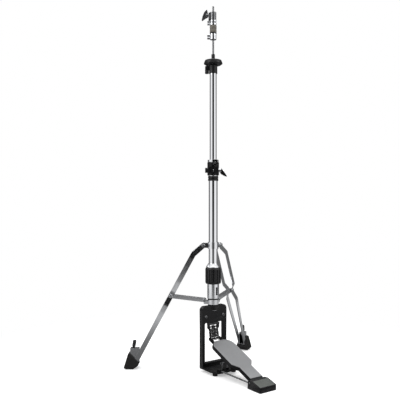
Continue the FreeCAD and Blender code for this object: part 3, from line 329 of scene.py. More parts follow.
# %% The felts
def felt(name, dark, light):
    material = finish(name, dark, light, (0.9, 1.0), 0.0, (120.0, 0.3, 0.0), (1100.0, 0.00035, 3.0),
                      dust_colour=light, Sheen_Weight=0.35, Sheen_Roughness=0.6)
    tree = material.node_tree
    where = add(tree, "ShaderNodeTexCoord")
    mottle = add(tree, "ShaderNodeTexNoise", {"Scale": 260.0, "Detail": 6.0})
    tree.links.new(where.outputs["Object"], mottle.inputs["Vector"])
    shader = tree.nodes["Principled BSDF"]
    before = shader.inputs["Base Color"].links[0].from_socket
    mix = add(tree, "ShaderNodeMix", data_type="RGBA", blend_type="MULTIPLY")
    ramp = add(tree, "ShaderNodeMapRange", {"From Min": 0.3, "From Max": 0.7, "To Min": 0.0, "To Max": 0.7})
    tree.links.new(mottle.outputs["Fac"], ramp.inputs["Value"])
    tree.links.new(ramp.outputs["Result"], mix.inputs["Factor"])
    tree.links.new(before, mix.inputs["A"])
    mix.inputs["B"].default_value = (0.45, 0.42, 0.38, 1)
    tree.links.new(mix.outputs["Result"], shader.inputs["Base Color"])
    return material


BROWN_FELT = felt("brown felt", (0.12, 0.105, 0.085), (0.26, 0.24, 0.20))
BLACK_FELT = felt("black felt", (0.012, 0.012, 0.013), (0.035, 0.035, 0.036))
FINISH_OF_SLOT = {
    "chrome": CHROME, "steel": ZINC, "chain": BLACKENED, "tread": CAST_GREY, "black_paint": ENAMEL,
    "black_plastic": PLASTIC, "rubber": RUBBER, "heel_rubber": HEEL_RUBBER, "felt": BROWN_FELT,
    "dark_felt": BLACK_FELT,
}


def finish_of(node):
    return FINISH_OF_SLOT[SLOT_OF[node]]


print("felts:", BROWN_FELT.name, "and", BLACK_FELT.name)

# %% [markdown]
# ## Ways of making a mesh
# Round work is an outline spun about Z, closed at its poles. Flat work is an outline with a thickness.
# Cast and pressed work starts as a clean copy of its node: doubles merged, flat faces joined, edges rounded.
# Every finished piece sits at the origin with its place in its mesh, rides on a body and takes a finish.


# %% Mesh helpers
STILL = Matrix.Identity(4)
QUARTER = math.radians(90)
UPRIGHT = Matrix.Rotation(QUARTER, 4, "Y") @ Matrix.Rotation(QUARTER, 4, "Z")
BEVEL_ANGLE = math.radians(32)
SHARP_ANGLE = math.radians(40)
FLAT_ANGLE = math.radians(0.6)
WELD = 1e-6


def spun(outline, segments=72):
    """Spins (radius, height) points about Z. An outline from pole to pole closes itself; any other is a ring.
    A point with a third number is a level with that many flats: its radius is measured to the corners."""
    bm = bmesh.new()
    solid = outline[0][0] == 0 and outline[-1][0] == 0
    rings = []
    for r, z, *flats in outline:
        if r == 0:
            rings.append([bm.verts.new((0, 0, z))] * segments)
            continue
        ring = []
        for i in range(segments):
            a = 2 * math.pi * i / segments
            if flats:
                part = 2 * math.pi / flats[0]
                reach = r * math.cos(part / 2) / math.cos(a % part - part / 2)
            else:
                reach = r
            ring.append(bm.verts.new((reach * math.cos(a), reach * math.sin(a), z)))
        rings.append(ring)
    pairs = list(zip(rings, rings[1:]))
    if not solid:
        pairs.append((rings[-1], rings[0]))
    for low, high in pairs:
        for i in range(segments):
            j = (i + 1) % segments
            quad = [low[i], low[j], high[j], high[i]]
            face = [v for k, v in enumerate(quad) if v not in quad[:k]]
            if len(face) > 2:
                bm.faces.new(face)
    bmesh.ops.recalc_face_normals(bm, faces=bm.faces)
    mesh = bpy.data.meshes.new("spun")
    bm.to_mesh(mesh)
    bm.free()
    return mesh


def slab(outline, thickness, z=0.0):
    """A flat outline in XY with a thickness along Z."""
    bm = bmesh.new()
    low = [bm.verts.new((x, y, z)) for x, y in outline]
    high = [bm.verts.new((x, y, z + thickness)) for x, y in outline]
    bm.faces.new(low)
    bm.faces.new(high)
    for i in range(len(outline)):
        j = (i + 1) % len(outline)
        bm.faces.new((low[i], low[j], high[j], high[i]))
    bmesh.ops.recalc_face_normals(bm, faces=bm.faces)
    mesh = bpy.data.meshes.new("slab")
    bm.to_mesh(mesh)
    bm.free()
    return mesh


def bar(half_width, low, high, depth, sunk):
    """A flat bar, to be set on a circle with its back sunk into it. UPRIGHT stands it up, facing outwards."""
    outline = [(-half_width, low), (half_width, low), (half_width, high), (-half_width, high)]
    return slab(outline, depth, -sunk)


def joined(*parts):
    """One mesh from (mesh, matrix) pairs."""
    bm = bmesh.new()
    for mesh, matrix in parts:
        copy = mesh.copy()
        copy.transform(matrix)
        if matrix.determinant() < 0:
            copy.flip_normals()
        bm.from_mesh(copy)
        bpy.data.meshes.remove(copy)
    mesh = bpy.data.meshes.new("joined")
    bm.to_mesh(mesh)
    bm.free()
    return mesh


def rounded(obj, width, segments):
    """Live bevel and weighted normals, so that flat faces stay flat and edges catch the light."""
    bevel = obj.modifiers.new("edges", "BEVEL")
    bevel.width = width * MM
    bevel.segments = segments
    bevel.limit_method = "ANGLE"
    bevel.angle_limit = BEVEL_ANGLE
    bevel.use_clamp_overlap = True
    bevel.miter_outer = "MITER_ARC"
    shade = obj.modifiers.new("shading", "WEIGHTED_NORMAL")
    shade.keep_sharp = True
    shade.weight = 60


def piece(name, mesh, material, body, scale=TO_METRES, edge=None, segments=2, stands_for=(), slot=None):
    """Hands a mesh to its body, with a finish, and the nodes that it stands for."""
    mesh.transform(scale)
    mesh.name = name
    mesh.materials.clear()
    mesh.materials.append(material)
    mesh.polygons.foreach_set("use_smooth", [True] * len(mesh.polygons))
    mesh.set_sharp_from_angle(angle=SHARP_ANGLE)
    obj = bpy.data.objects.new(name, mesh)
    bpy.context.scene.collection.objects.link(obj)
    if edge:
        rounded(obj, edge, segments)
    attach(obj, body)
    if stands_for:
        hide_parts(*stands_for)
        slot = slot or SLOT_OF[stands_for[0]]
    return obj


def stand_in(node, ending, mesh, material=None, **settings):
    """A piece that takes a node's place, on its body and, unless another is given, with its finish."""
    material = material or finish_of(node)
    return piece(node + ending, mesh, material, BODY_OF[node], stands_for=(node,), **settings)


def dressed(node, edge=None, segments=2, material=None):
    """A clean copy of a node, with rounded edges where a width is given, that stands for it."""
    bm = bmesh.new()
    bm.from_mesh(frame["nodes"][node].data)
    bmesh.ops.remove_doubles(bm, verts=bm.verts, dist=WELD)
    bmesh.ops.dissolve_limit(bm, angle_limit=FLAT_ANGLE, verts=bm.verts, edges=bm.edges)
    mesh = bpy.data.meshes.new(node)
    bm.to_mesh(mesh)
    bm.free()
    return stand_in(node, "_dressed", mesh, material, scale=STILL, edge=edge, segments=segments)


# %% [markdown]
# ## What repeats
# Two Geometry Nodes trees serve all repeated shapes. One stands copies on a circle, facing outwards; the
# other sets them along a straight line. Each takes the shape, the count and the sizes as named inputs,
# realizes its instances and sets its material, and the result is kept as a plain mesh.


# %% The two trees
def repeat_tree(name, inputs, spread):
    """A tree that instances Part on the points that spread() makes."""
    tree = bpy.data.node_groups.new(name, "GeometryNodeTree")
    for label, kind in [("Part", "NodeSocketObject"), ("Finish", "NodeSocketMaterial"), *inputs]:
        tree.interface.new_socket(label, in_out="INPUT", socket_type=kind)
    tree.interface.new_socket("Geometry", in_out="OUTPUT", socket_type="NodeSocketGeometry")
    given = tree.nodes.new("NodeGroupInput")
    out = tree.nodes.new("NodeGroupOutput")
    link = tree.links.new
    part = add(tree, "GeometryNodeObjectInfo", transform_space="ORIGINAL")
    link(given.outputs["Part"], part.inputs["Object"])
    copies = add(tree, "GeometryNodeInstanceOnPoints")
    link(part.outputs["Geometry"], copies.inputs["Instance"])
    spread(tree, given, copies)
    real = add(tree, "GeometryNodeRealizeInstances")
    link(copies.outputs["Instances"], real.inputs["Geometry"])
    finish_node = add(tree, "GeometryNodeSetMaterial")
    link(real.outputs["Geometry"], finish_node.inputs["Geometry"])
    link(given.outputs["Finish"], finish_node.inputs["Material"])
    link(finish_node.outputs["Geometry"], out.inputs["Geometry"])
    return tree


def on_circle(tree, given, copies):
    link = tree.links.new
    circle = add(tree, "GeometryNodeMeshCircle")
    link(given.outputs["Count"], circle.inputs["Vertices"])
    link(given.outputs["Radius"], circle.inputs["Radius"])
    link(circle.outputs["Mesh"], copies.inputs["Points"])
    here = add(tree, "GeometryNodeInputPosition")
    face_out = add(tree, "FunctionNodeAlignRotationToVector", axis="X")
    link(here.outputs["Position"], face_out.inputs["Vector"])
    link(face_out.outputs["Rotation"], copies.inputs["Rotation"])


def on_line(tree, given, copies):
    link = tree.links.new
    line = add(tree, "GeometryNodeMeshLine", mode="OFFSET")
    link(given.outputs["Count"], line.inputs["Count"])
    link(given.outputs["Start"], line.inputs["Start Location"])
    link(given.outputs["Step"], line.inputs["Offset"])
    link(line.outputs["Mesh"], copies.inputs["Points"])


AROUND = repeat_tree("copies around", [("Count", "NodeSocketInt"), ("Radius", "NodeSocketFloat")], on_circle)
ALONG = repeat_tree(
    "copies along",
    [("Count", "NodeSocketInt"), ("Start", "NodeSocketVector"), ("Step", "NodeSocketVector")],
    on_line,
)


def repeated(tree, part, material, **values):
    """Runs a tree on a small mesh and returns the plain result, still in millimetres."""
    template = bpy.data.objects.new("template", part)
    host = bpy.data.objects.new("host", bpy.data.meshes.new("host"))
    for obj in (template, host):
        bpy.context.scene.collection.objects.link(obj)
    modifier = host.modifiers.new("repeat", "NODES")
    modifier.node_group = tree
    ids = {item.name: item.identifier for item in tree.interface.items_tree if item.in_out == "INPUT"}
    for label, value in {"Part": template, "Finish": material, **values}.items():
        modifier[ids[label]] = value
    bpy.context.view_layer.update()
    mesh = bpy.data.meshes.new_from_object(host.evaluated_get(bpy.context.evaluated_depsgraph_get()))
    host.modifiers.remove(modifier)
    bpy.data.objects.remove(host)
    bpy.data.objects.remove(template)
    return mesh


print("trees:", AROUND.name, "and", ALONG.name)

# %% [markdown]
# ## Tubes, rod and turned rings
# On the real stand these are drawn tube and lathe work. A spun outline with many segments keeps the long
# reflections straight, which a coarse mesh would break up; small chamfers at the mouths catch a thin line of
# light as the real rolled ends do.


# %% The column
def tube(node, wall, lip=0.6, mouth=0.2):
    """A drawn tube with a small chamfer at each mouth."""
    low, high = span(node)
    r = radius(node)
    bore = r - wall
    outline = [(r - lip, low.z), (r, low.z + lip), (r, high.z - lip), (r - lip, high.z),
               (bore, high.z - mouth), (bore, low.z + mouth)]
    return stand_in(node, "_turned", spun(outline, 96))


tube("lower_tube", wall=1.6)
tube("upper_tube", wall=1.5)


def rod(node, tip=1.2):
    """A solid rod with chamfered ends."""
    low, high = span(node)
    r = radius(node)
    outline = [(0, low.z), (r - tip, low.z), (r, low.z + tip)]
    outline += [(r, high.z - tip), (r - tip, high.z), (0, high.z)]
    return stand_in(node, "_turned", spun(outline, 40), GROUND_STEEL)


rod("pull_rod")
LOWER_R = radius("lower_tube")
UPPER_R = radius("upper_tube")
ROD_R = radius("pull_rod")
FELT_TUBE_R = ROD_R + 2.5
GROOVE_TOP = 1.4
GROOVE_FLOOR = 0.8


def collar(node, bore, edge=0.7, waist=0.0):
    """A ring with rounded edges and, if asked, a shallow groove round its middle."""
    low, high = span(node)
    r = radius(node)
    mid = (low.z + high.z) / 2
    knee = edge * 0.3
    outline = [(bore, low.z), (r - edge, low.z), (r - knee, low.z + knee), (r, low.z + edge)]
    if waist:
        outline += [(r, mid - GROOVE_TOP), (r - waist, mid - GROOVE_FLOOR)]
        outline += [(r - waist, mid + GROOVE_FLOOR), (r, mid + GROOVE_TOP)]
    outline += [(r, high.z - edge), (r - knee, high.z - knee), (r - edge, high.z), (bore, high.z)]
    return stand_in(node, "_turned", spun(outline, 80))


collar("clamp_sleeve", bore=UPPER_R + 0.05, edge=1.2, waist=0.8)
collar("clamp_ring", bore=UPPER_R + 0.3, edge=0.8)
collar("thrust_ring", bore=radius("neck_tube"), edge=0.8)
collar("clutch_washer", bore=FELT_TUBE_R, edge=0.8)
collar("seat_sleeve", bore=ROD_R + 1.8, edge=0.6)


def dial_cone(chamfer=0.6, rim=3.0, shoulder=1.2):
    """The bright cone that seats the dial, with a slim rim below."""
    low, high = span("dial_cone")
    r = radius("dial_cone")
    outline = [(LOWER_R, low.z), (r - chamfer, low.z), (r, low.z + chamfer), (r, low.z + rim),
               (r - chamfer, low.z + rim + chamfer), (LOWER_R + 1.4, high.z - shoulder),
               (LOWER_R + 0.8, high.z), (LOWER_R, high.z)]
    return stand_in("dial_cone", "_turned", spun(outline, 96), CHROME)


dial_cone()
print("column: 2 tubes, the rod, 5 rings and the cone")

# %% [markdown]
# ## Tension dial
# The dial is gripped with one hand, so it carries a crown of broad ribs between two plain rims. The body is
# spun; the ribs are one rounded bar, stood around it by the circle tree.


# %% The dial and its ribs
DIAL_RIBS = 13
RIB_HALF_WIDTH = 3.9
RIB_DEPTH = 3.4
RIB_ROUND = 1.6


def tension_dial():
    low, high = span("tension_dial")
    r = radius("tension_dial")
    bore = LOWER_R + 0.05
    core = r - 2.8
    rim = [(bore, 0), (r - 4.5, 0), (r - 2.0, 0.9), (r - 0.7, 2.6), (r - 0.4, 5.0), (core, 6.4)]
    outline = [(reach, low.z + z) for reach, z in rim] + [(reach, high.z - z) for reach, z in reversed(rim)]
    height = high.z - low.z - 9.0
    rib = bar(RIB_HALF_WIDTH, -height / 2, height / 2, RIB_DEPTH, sunk=1.2)
    bm = bmesh.new()
    bm.from_mesh(rib)
    bmesh.ops.bevel(bm, geom=bm.edges[:], offset=RIB_ROUND, segments=4, profile=0.6, affect="EDGES")
    bm.to_mesh(rib)
    bm.free()
    rib.transform(UPRIGHT)
    ribs = repeated(AROUND, rib, PLASTIC, Count=DIAL_RIBS, Radius=core + 0.4)
    middle = Matrix.Translation((0, 0, (low.z + high.z) / 2))
    return stand_in("tension_dial", "_ribbed", joined((spun(outline, 96), STILL), (ribs, middle)), PLASTIC)


dial = tension_dial()
print("dial:", len(dial.data.polygons), "faces")

# %% [markdown]
# ## Cast, pressed and moulded pieces
# These keep the shape of their nodes. The copy is cleaned first, because a imported node is loose triangles,
# and then bevelled: about a millimetre on castings, half of that on sheet, more on rubber.

# %% Softened copies
WIDE_BEVEL = 1.0
EDGES = {
    "pedal_frame": 1.4, "base_plate": 0.9, "heel_plate": 1.3, "footboard_carrier": 0.8,
    "footboard_tread": 0.7, "toe_clamp": 0.6, "rod_end": 0.6, "spring_housing": 0.5, "spring_seat": 0.3,
    "neck_tube": 0.3, "clamp_body": 1.2, "clamp_nut": 0.8, "clamp_screw": 0.7, "memory_lock": 0.7,
    "memory_lock_bolt": 0.4, "seat_holder": 0.8, "tilter_screw": 0.6, "clutch_body": 0.6,
    "clutch_ring_nuts": 0.5, "leg_collar": 0.9, "stay_collar": 0.6, "stay_pins": 0.5, "radius_rods": 0.4,
    "spur_left": 0.4, "spur_right": 0.4, "heel_hinge_pin": 0.4, "left_leg_bars": 0.6, "right_leg_bars": 0.6,
    "left_stay": 0.35, "right_stay": 0.35, "left_foot_bracket": 0.4, "right_foot_bracket": 0.4,
    "left_foot_boot": 1.6, "right_foot_boot": 1.6, "clutch_bottom_nut": 0.7, "spring_cup": 0.4,
    "clutch_wing_screw": 0.9, "seat_cup": 0.9, "floor_pads": 1.2,
}
SHEET = [side + kind for side in ("left", "right") for kind in ("_leg_bars", "_stay", "_foot_bracket")]
SHEET += ["leg_collar", "stay_collar", "spring_housing", "clutch_bottom_nut", "clutch_ring_nuts"]
GROUND = ["clutch_wing_screw", "clutch_body"]
for node, width in EDGES.items():
    plate = SHEET_CHROME if node in SHEET else GROUND_STEEL if node in GROUND else None
    dressed(node, width, 3 if width > WIDE_BEVEL else 2, plate)
print("softened:", len(EDGES), "pieces")

# %% The return spring
spring = dressed("return_spring")
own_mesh(spring)


# %% [markdown]
# ## Felts
# Felt washers have no sharp edge: the cut wool opens a little, so the sides bulge and the rims are round.
# The two under the clutch are separate washers that press on each other.


# %% Felt washers
FELT_GAP = 0.5
FELT_BULGE = 0.12
FELT_MOUTH = 0.3
FELT_EASE = 0.15


def washer_outline(bore, r, low, high, soft):
    """A washer's section: rims rounded by soft, sides that bulge."""
    turns = [math.radians(30 * i) for i in range(1, 4)]
    curve = [(r - soft * (1 - math.sin(turn)), soft * (1 - math.cos(turn))) for turn in turns]
    outline = [(bore, low + FELT_MOUTH), (r - soft, low)]
    outline += [(reach, low + z) for reach, z in curve]
    outline.append((r + FELT_BULGE, (low + high) / 2))
    outline += [(reach, high - z) for reach, z in reversed(curve)]
    return outline + [(r - soft, high), (bore, high - FELT_MOUTH)]


def felt_washers(node, bore, count, soft):
    low, high = span(node)
    r = radius(node) - FELT_EASE
    height = (high.z - low.z - FELT_GAP * (count - 1)) / count
    rings = []
    for i in range(count):
        z = low.z + i * (height + FELT_GAP)
        rings.append((spun(washer_outline(bore, r, z, z + height, soft), 72), STILL))
    return stand_in(node, "_soft", joined(*rings))


felt_washers("clutch_felts", FELT_TUBE_R, 2, 1.8)
felt_washers("seat_felt", radius("seat_sleeve"), 1, 1.6)
print("felts: two below the clutch, one on the seat")

# %% [markdown]
# ## Screws
# Screw heads are spun too; a level with six flats makes a hexagon or, inside a round head, a socket. Their
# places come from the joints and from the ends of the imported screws.


# %% Frame bolts, leg bolts and foot bolts
BOTH_SIDES = ("left", "right")
LEG_BOLT_HEAD = 5.0
KNURLED_HEAD = 20.0
KNURLED_R = 5.6
KNURL_RIDGES = 24


def frame_bolts():
    """Button heads with sockets, in the frame's top rail."""
    low, high = span("frame_bolts")
    r = (high.z - low.z) / 2
    x = (high.x - low.x) / 2 - r
    z = (low.z + high.z) / 2
    length = high.y - low.y
    outline = [(0, 1.9), (2.0, 1.9, 6), (2.3, 0.2, 6), (3.2, 0), (4.4, 0.5), (r - 0.2, 1.7), (r, 2.4), (r, 3),
               (3, 3), (3, length), (0, length)]
    inwards = Matrix.Rotation(-QUARTER, 4, "X")
    heads = [(spun(outline, 48), Matrix.Translation((side * x, low.y, z)) @ inwards) for side in (-1, 1)]
    return stand_in("frame_bolts", "_turned", joined(*heads), DARK_STEEL)


def leg_bolts():
    """A hexagon head, a shank and a hexagon nut with a rounded thread end, one through each lug."""
    bolts = []
    for side in BOTH_SIDES:
        point, axis = pivot(side + "_leg_fold")
        start, stop = extent("leg_bolts", point, axis, within=8.0)
        under_head = start + LEG_BOLT_HEAD
        on_nut = stop - LEG_BOLT_HEAD
        outline = [(0, start), (4.6, start), (6.4, start + 1.1, 6), (6.5, under_head, 6), (4, under_head),
                   (4, on_nut), (6.1, on_nut, 6), (6.0, stop - 2.2, 6), (4.4, stop - 1.3), (3.2, stop - 1.3),
                   (2.6, stop), (0, stop)]
        bolts.append((spun(outline, 48), Matrix.Translation(point) @ aimed(axis)))
    return stand_in("leg_bolts", "_turned", joined(*bolts), ZINC)


def foot_bolt(side):
    """The foot's spike bolt: a knurled head on a long shank with a point."""
    node = side + "_foot_bolt"
    start, stop = ends(node, guess=(0, 0, 1))
    length = (stop - start).length
    shank = length - KNURLED_HEAD
    r = KNURLED_R
    outline = [(0, 0), (1.0, 0.2), (4.0, 5.0), (4.0, shank), (r - 0.7, shank), (r - 0.3, shank + 0.6),
               (r - 0.3, length - 1.2), (r - 1.2, length), (0, length)]
    half = KNURLED_HEAD / 2
    ridge = bar(0.45, -half + 1.4, half - 1.8, depth=0.9, sunk=0.5)
    ridge.transform(UPRIGHT)
    knurl = repeated(AROUND, ridge, finish_of(node), Count=KNURL_RIDGES, Radius=r - 0.45)
    whole = joined((spun(outline, 48), STILL), (knurl, Matrix.Translation((0, 0, length - half))))
    whole.transform(Matrix.Translation(start) @ aimed(stop - start))
    return stand_in(node, "_turned", whole)


frame_bolts()
leg_bolts()
for side in BOTH_SIDES:
    foot_bolt(side)
print("screws: 2 in the frame, 2 at the leg collar, 2 in the feet")

# %% [markdown]
# ## Chain
# Two short roller chains run side by side from the rod end to the toe. A link is a pair of waisted plates;
# each second link is set inside its neighbours. The line tree lays out the middle plates, the rollers and the
# pins. The first and last eyes keep an open hole, because the pins of the rod end and the toe clamp go
# through them.

# %% The double roller chain
CHAIN_TOP = pivot("chain_swing")[0]
CHAIN_HALF = span("drive_chain")[1].x
ROWS = (-1, 1)
PITCHES = 4
PLATE = 1.25
EYE_R = 5.2
WAIST = 4.4
ROLLER_R = 4.4
PIN_R = 1.5
TOP_BORE = 2.9
TOE_BORE = 4.0
END_RIM = 2.2
TOE_EYE_R = 6.0
INSIDE = 2.5
PLAY = 0.1
STRAP_GAP = 0.4
PIN_PROUD = 0.35
OUTER_PLATES = [(CHAIN_HALF - PLATE, CHAIN_HALF), (INSIDE, INSIDE + PLATE)]
INNER_PLATES = [(CHAIN_HALF - 2 * PLATE - PLAY, CHAIN_HALF - PLATE - PLAY),
                (INSIDE + PLAY + PLATE, INSIDE + PLAY + 2 * PLATE)]


def shifted(z, shape):
    mesh, turn = shape
    return mesh, Matrix.Translation((0, 0, z)) @ turn


def eye(r, bore, x0, x1):
    """A flat ring, or a disc when the bore is nothing, across the chain between two X places."""
    outline = [(bore, x0), (r, x0), (r, x1), (bore, x1)] if bore else [(0, x0), (r, x0), (r, x1), (0, x1)]
    return spun(outline, 32), Matrix.Rotation(QUARTER, 4, "Y")


def strap(x0, x1, z0, z1):
    """The waist of a link plate."""
    mesh = slab([(-WAIST, z0), (WAIST, z0), (WAIST, z1), (-WAIST, z1)], x1 - x0, x0)
    return mesh, Matrix(((0, 0, 1, 0), (1, 0, 0, 0), (0, 1, 0, 0), (0, 0, 0, 1)))


def in_both_rows(sides):
    """The X places of a link's plates, for the left chain and the right one."""
    return [sorted((row * a, row * b)) for row in ROWS for a, b in sides]


def middle_plates(sides, pitch):
    shapes = []
    for x0, x1 in in_both_rows(sides):
        shapes += [eye(EYE_R, 0, x0, x1), strap(x0, x1, -pitch, 0), shifted(-pitch, eye(EYE_R, 0, x0, x1))]
    return joined(*shapes)


def end_plates(sides, z, bore, pitch):
    """The link at one end: an open eye at z, and the next eye a pitch further in."""
    shapes = []
    for x0, x1 in in_both_rows(sides):
        edge = z + math.copysign(bore + STRAP_GAP, pitch)
        shapes.append(shifted(z, eye(bore + END_RIM, bore, x0, x1)))
        shapes.append(strap(x0, x1, *sorted((edge, z + pitch))))
        shapes.append(shifted(z + pitch, eye(EYE_R, 0, x0, x1)))
    return joined(*shapes)


def rollers():
    shapes = []
    for x0, x1 in in_both_rows([(INSIDE + 0.3 + 2 * PLATE, CHAIN_HALF - 2 * PLATE - 0.2)]):
        shapes.append(eye(ROLLER_R, 0, x0, x1))
    for x0, x1 in in_both_rows([(INSIDE - 0.4, CHAIN_HALF + PIN_PROUD)]):
        shapes.append(eye(PIN_R, 0, x0, x1))
    return joined(*shapes)


def drive_chain():
    points = corners("drive_chain")
    far = max(points, key=lambda point: (point - CHAIN_TOP).length)
    length = Vector((0, far.y - CHAIN_TOP.y, far.z - CHAIN_TOP.z)).length - TOE_EYE_R
    lowest = min(points, key=lambda point: point.z)
    lean = Vector((0, lowest.y - CHAIN_TOP.y, lowest.z - CHAIN_TOP.z)).normalized()
    pitch = length / PITCHES
    step = Vector((0, 0, -pitch))
    inner = middle_plates(INNER_PLATES, pitch)
    outer = middle_plates(OUTER_PLATES, pitch)
    pairs = PITCHES // 2 - 1
    meshes = [
        repeated(ALONG, rollers(), BLACKENED, Count=PITCHES - 1, Start=step, Step=step),
        repeated(ALONG, inner, BLACKENED, Count=pairs, Start=step, Step=step * 2),
        repeated(ALONG, outer, BLACKENED, Count=pairs, Start=step * 2, Step=step * 2),
        end_plates(OUTER_PLATES, 0.0, TOP_BORE, -pitch),
        end_plates(INNER_PLATES, -length, TOE_BORE, pitch),
    ]
    whole = joined(*[(mesh, STILL) for mesh in meshes])
    tilt = Vector((0, 0, -1)).rotation_difference(lean).to_matrix().to_4x4()
    whole.transform(Matrix.Translation(CHAIN_TOP) @ tilt)
    return stand_in("drive_chain", "_links", whole, BLACKENED)


drive_chain()
print("chain:", PITCHES, "pitches")

# %% [markdown]
# ## Heel pad
# The rubber under the heel is moulded with fine ribs across it, so that a shoe does not slide. The ribs stand
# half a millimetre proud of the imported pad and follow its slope.


# %% The ribbed pad
PAD_RIBS = 13
RIB_HALF = 0.9
RIB_HEIGHT = 0.9
PAD_MARGIN = 1.2
NEAR = 0.2


def heel_pad():
    low, high = span("heel_pad")
    points = corners("heel_pad")
    front = max(point.z for point in points if point.y < low.y + NEAR)
    back = max(point.z for point in points if point.y > high.y - NEAR)
    half = (high.x - low.x) / 2 - PAD_MARGIN
    run = Vector((0, high.y - low.y, back - front))
    step = run / (PAD_RIBS + 1)
    outline = [(-half, -RIB_HALF), (half, -RIB_HALF), (half, RIB_HALF), (-half, RIB_HALF)]
    rib = slab(outline, RIB_HEIGHT, -RIB_HEIGHT / 2)
    rib.transform(Matrix.Rotation(math.atan2(run.z, run.y), 4, "X"))
    first = Vector((0, low.y, front)) + step
    ribs = repeated(ALONG, rib, HEEL_RUBBER, Count=PAD_RIBS, Start=first, Step=step)
    piece("heel_pad_ribs", ribs, HEEL_RUBBER, BODY_OF["heel_pad"], edge=0.3, slot=SLOT_OF["heel_pad"])
    dressed("heel_pad", 0.5)


heel_pad()
print("heel pad:", PAD_RIBS, "ribs laid on its slope")

# %% [markdown]
# A last look through the nodes: nothing may be left with the plain surface it was packed with.

# %% What is still plain
plain = [node for node in BODY_OF if not frame["nodes"][node].hide_render]
for node in plain:
    frame["nodes"][node].data.materials.clear()
    frame["nodes"][node].data.materials.append(finish_of(node))
print("kept as packed:", plain or "none")

# %% [markdown]
# ## Studio
# A pale floor, a bright surround and three soft lamps. Plated tubes show whatever stands around them, so the
# surround has one narrow dark strip in front and greyer sides behind: they draw the dark centre line and the
# grey outlines that make a bright tube read as round. The camera itself sees plain white behind the stand.

# %% Camera
EYE = Vector((-1.0657, -1.4214, 0.541))
TURN = math.radians(-35.5)
camera_data = bpy.data.cameras.new("camera")
camera_data.lens = 49.95
camera_data.sensor_width = 36.0
camera_data.clip_end = 50.0
camera = bpy.data.objects.new("camera", camera_data)
camera.location = EYE
camera.rotation_euler = (math.radians(90), 0, TURN)
bpy.context.scene.collection.objects.link(camera)
bpy.context.scene.camera = camera
print("camera at", [round(c, 3) for c in EYE])


# %% Surround
def surround():
    """The world: white on both flanks, grey behind, a dark gap towards the viewer, a soft ceiling."""
    world = bpy.data.worlds.new("studio")
    bpy.context.scene.world = world
    world.use_nodes = True
    tree = world.node_tree
    tree.nodes.clear()
    link = tree.links.new

    def maths(operation, first, second=None):
        node = add(tree, "ShaderNodeMath", operation=operation)
        for socket, value in zip(node.inputs, (first, second)):
            if isinstance(value, (int, float)):
                socket.default_value = value
            elif value is not None:
                link(value, socket)
        return node.outputs["Value"]

    def mapped(value, low, high, to_low, to_high, kind="SMOOTHSTEP"):
        ends_of_map = {"From Min": low, "From Max": high, "To Min": to_low, "To Max": to_high}
        node = add(tree, "ShaderNodeMapRange", ends_of_map, interpolation_type=kind)
        link(value, node.inputs["Value"])
        return node.outputs["Result"]

    where = add(tree, "ShaderNodeTexCoord")
    split = add(tree, "ShaderNodeSeparateXYZ")
    link(where.outputs["Generated"], split.inputs["Vector"])
    height = split.outputs["Z"]
    angle = maths("ARCTAN2", split.outputs["Y"], split.outputs["X"])
    facing = maths("COSINE", maths("SUBTRACT", angle, math.atan2(EYE.y, EYE.x)))
    ramp = add(tree, "ShaderNodeValToRGB")
    # (place between straight behind and straight towards the viewer, brightness)
    steps = [(0.0, 0.16), (0.42, 0.20), (0.56, 1.08), (0.915, 1.12), (0.955, 0.30), (1.0, 0.26)]
    link(mapped(facing, -1.0, 1.0, 0.0, 1.0, "LINEAR"), ramp.inputs["Fac"])
    while len(ramp.color_ramp.elements) < len(steps):
        ramp.color_ramp.elements.new(0.5)
    for element, (position, value) in zip(ramp.color_ramp.elements, steps):
        element.position = position
        element.color = (value, value, value, 1)
    edge = mapped(height, -0.10, 0.14, 0.990, 0.890, "LINEAR")
    gap = mapped(maths("SUBTRACT", facing, edge), -0.016, 0.012, 1.0, 0.03)
    sides = maths("MULTIPLY", ramp.outputs["Color"], gap)
    ceiling = mapped(height, 0.50, 0.80, 0.0, 1.0)
    below = mapped(height, -0.45, -0.20, 0.35, 1.0)
    level = maths("MULTIPLY", maths("ADD", maths("MULTIPLY", sides, maths("SUBTRACT", 1.0, ceiling)),
                                    maths("MULTIPLY", ceiling, 1.15)), below)
    plain = add(tree, "ShaderNodeBackground", {"Color": (1, 1, 1, 1), "Strength": 1.0})
    lit = add(tree, "ShaderNodeBackground", {"Strength": 1.0})
    link(level, lit.inputs["Color"])
    ray = add(tree, "ShaderNodeLightPath")
    mix = add(tree, "ShaderNodeMixShader")
    link(ray.outputs["Is Camera Ray"], mix.inputs[0])
    link(lit.outputs[0], mix.inputs[1])
    link(plain.outputs[0], mix.inputs[2])
    out = add(tree, "ShaderNodeOutputWorld")
    link(mix.outputs[0], out.inputs[0])


surround()


# %% Floor and lamps
FLOOR_R = 1250
FLOOR_THICKNESS = 20


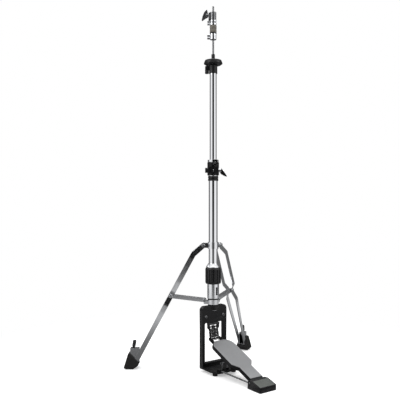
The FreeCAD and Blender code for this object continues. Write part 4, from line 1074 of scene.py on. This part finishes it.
def floor():
    """A pale disc: near the stand it takes a soft shadow, further out it fades into the white around it.
    Glossy rays see a painted reflection instead: a grey glow, with painted shade that is darkest near the stand.
    """
    mesh = spun([(0, 0), (FLOOR_R, 0), (FLOOR_R, -FLOOR_THICKNESS), (0, -FLOOR_THICKNESS)], 96)
    mesh.transform(TO_METRES)
    material = bpy.data.materials.new("pale floor")
    material.use_nodes = True
    tree = material.node_tree
    link = tree.links.new
    shader = tree.nodes["Principled BSDF"]
    shader.inputs["Base Color"].default_value = (0.88, 0.88, 0.88, 1)
    shader.inputs["Roughness"].default_value = 0.9
    shader.inputs["Emission Color"].default_value = (1, 1, 1, 1)
    shader.inputs["Emission Strength"].default_value = 0.40
    where = add(tree, "ShaderNodeTexCoord")
    away = add(tree, "ShaderNodeVectorMath", operation="LENGTH")
    link(where.outputs["Object"], away.inputs[0])
    fade = add(tree, "ShaderNodeMapRange", {"From Min": 0.45, "From Max": 0.95},
               interpolation_type="SMOOTHSTEP")
    link(away.outputs["Value"], fade.inputs["Value"])
    white = add(tree, "ShaderNodeEmission", {"Color": (1, 1, 1, 1), "Strength": 1.0})
    # Painted reflection: glossy rays see this grey glow instead of the lit floor, with painted shade darkest near
    # the stand.
    grey = add(tree, "ShaderNodeEmission", {"Color": (1, 1, 1, 1)})
    shade = add(tree, "ShaderNodeMapRange",
                {"From Min": 0.30, "From Max": 0.90, "To Min": 0.16, "To Max": 0.62},
                interpolation_type="SMOOTHSTEP")
    link(away.outputs["Value"], shade.inputs["Value"])
    link(shade.outputs["Result"], grey.inputs["Strength"])
    ray = add(tree, "ShaderNodeLightPath")
    seen = add(tree, "ShaderNodeMixShader")
    link(fade.outputs["Result"], seen.inputs[0])
    link(shader.outputs[0], seen.inputs[1])
    link(white.outputs[0], seen.inputs[2])
    with_painted_reflection = add(tree, "ShaderNodeMixShader")
    link(ray.outputs["Is Glossy Ray"], with_painted_reflection.inputs[0])
    link(seen.outputs[0], with_painted_reflection.inputs[1])
    link(grey.outputs[0], with_painted_reflection.inputs[2])
    link(with_painted_reflection.outputs[0], tree.nodes["Material Output"].inputs["Surface"])
    mesh.materials.append(material)
    obj = bpy.data.objects.new("floor", mesh)
    bpy.context.scene.collection.objects.link(obj)


def lamp(name, where, aim, size, power):
    data = bpy.data.lights.new(name, "AREA")
    data.shape = "RECTANGLE"
    data.size, data.size_y = size
    data.energy = power
    obj = bpy.data.objects.new(name, data)
    obj.location = where
    obj.rotation_euler = (Vector(aim) - Vector(where)).to_track_quat("-Z", "Y").to_euler()
    bpy.context.scene.collection.objects.link(obj)


floor()
lamp("key", (-2.6, 0.2, 2.2), (0, 0, 0.4), (0.8, 1.4), 18)
lamp("fill", (1.6, -2.2, 2.4), (0, 0, 0.3), (0.8, 1.2), 12)
lamp("top", (0, 0, 3.4), (0, 0, 0), (2.4, 2.4), 30)
bpy.context.scene.view_settings.view_transform = "Standard"
print("studio ready")
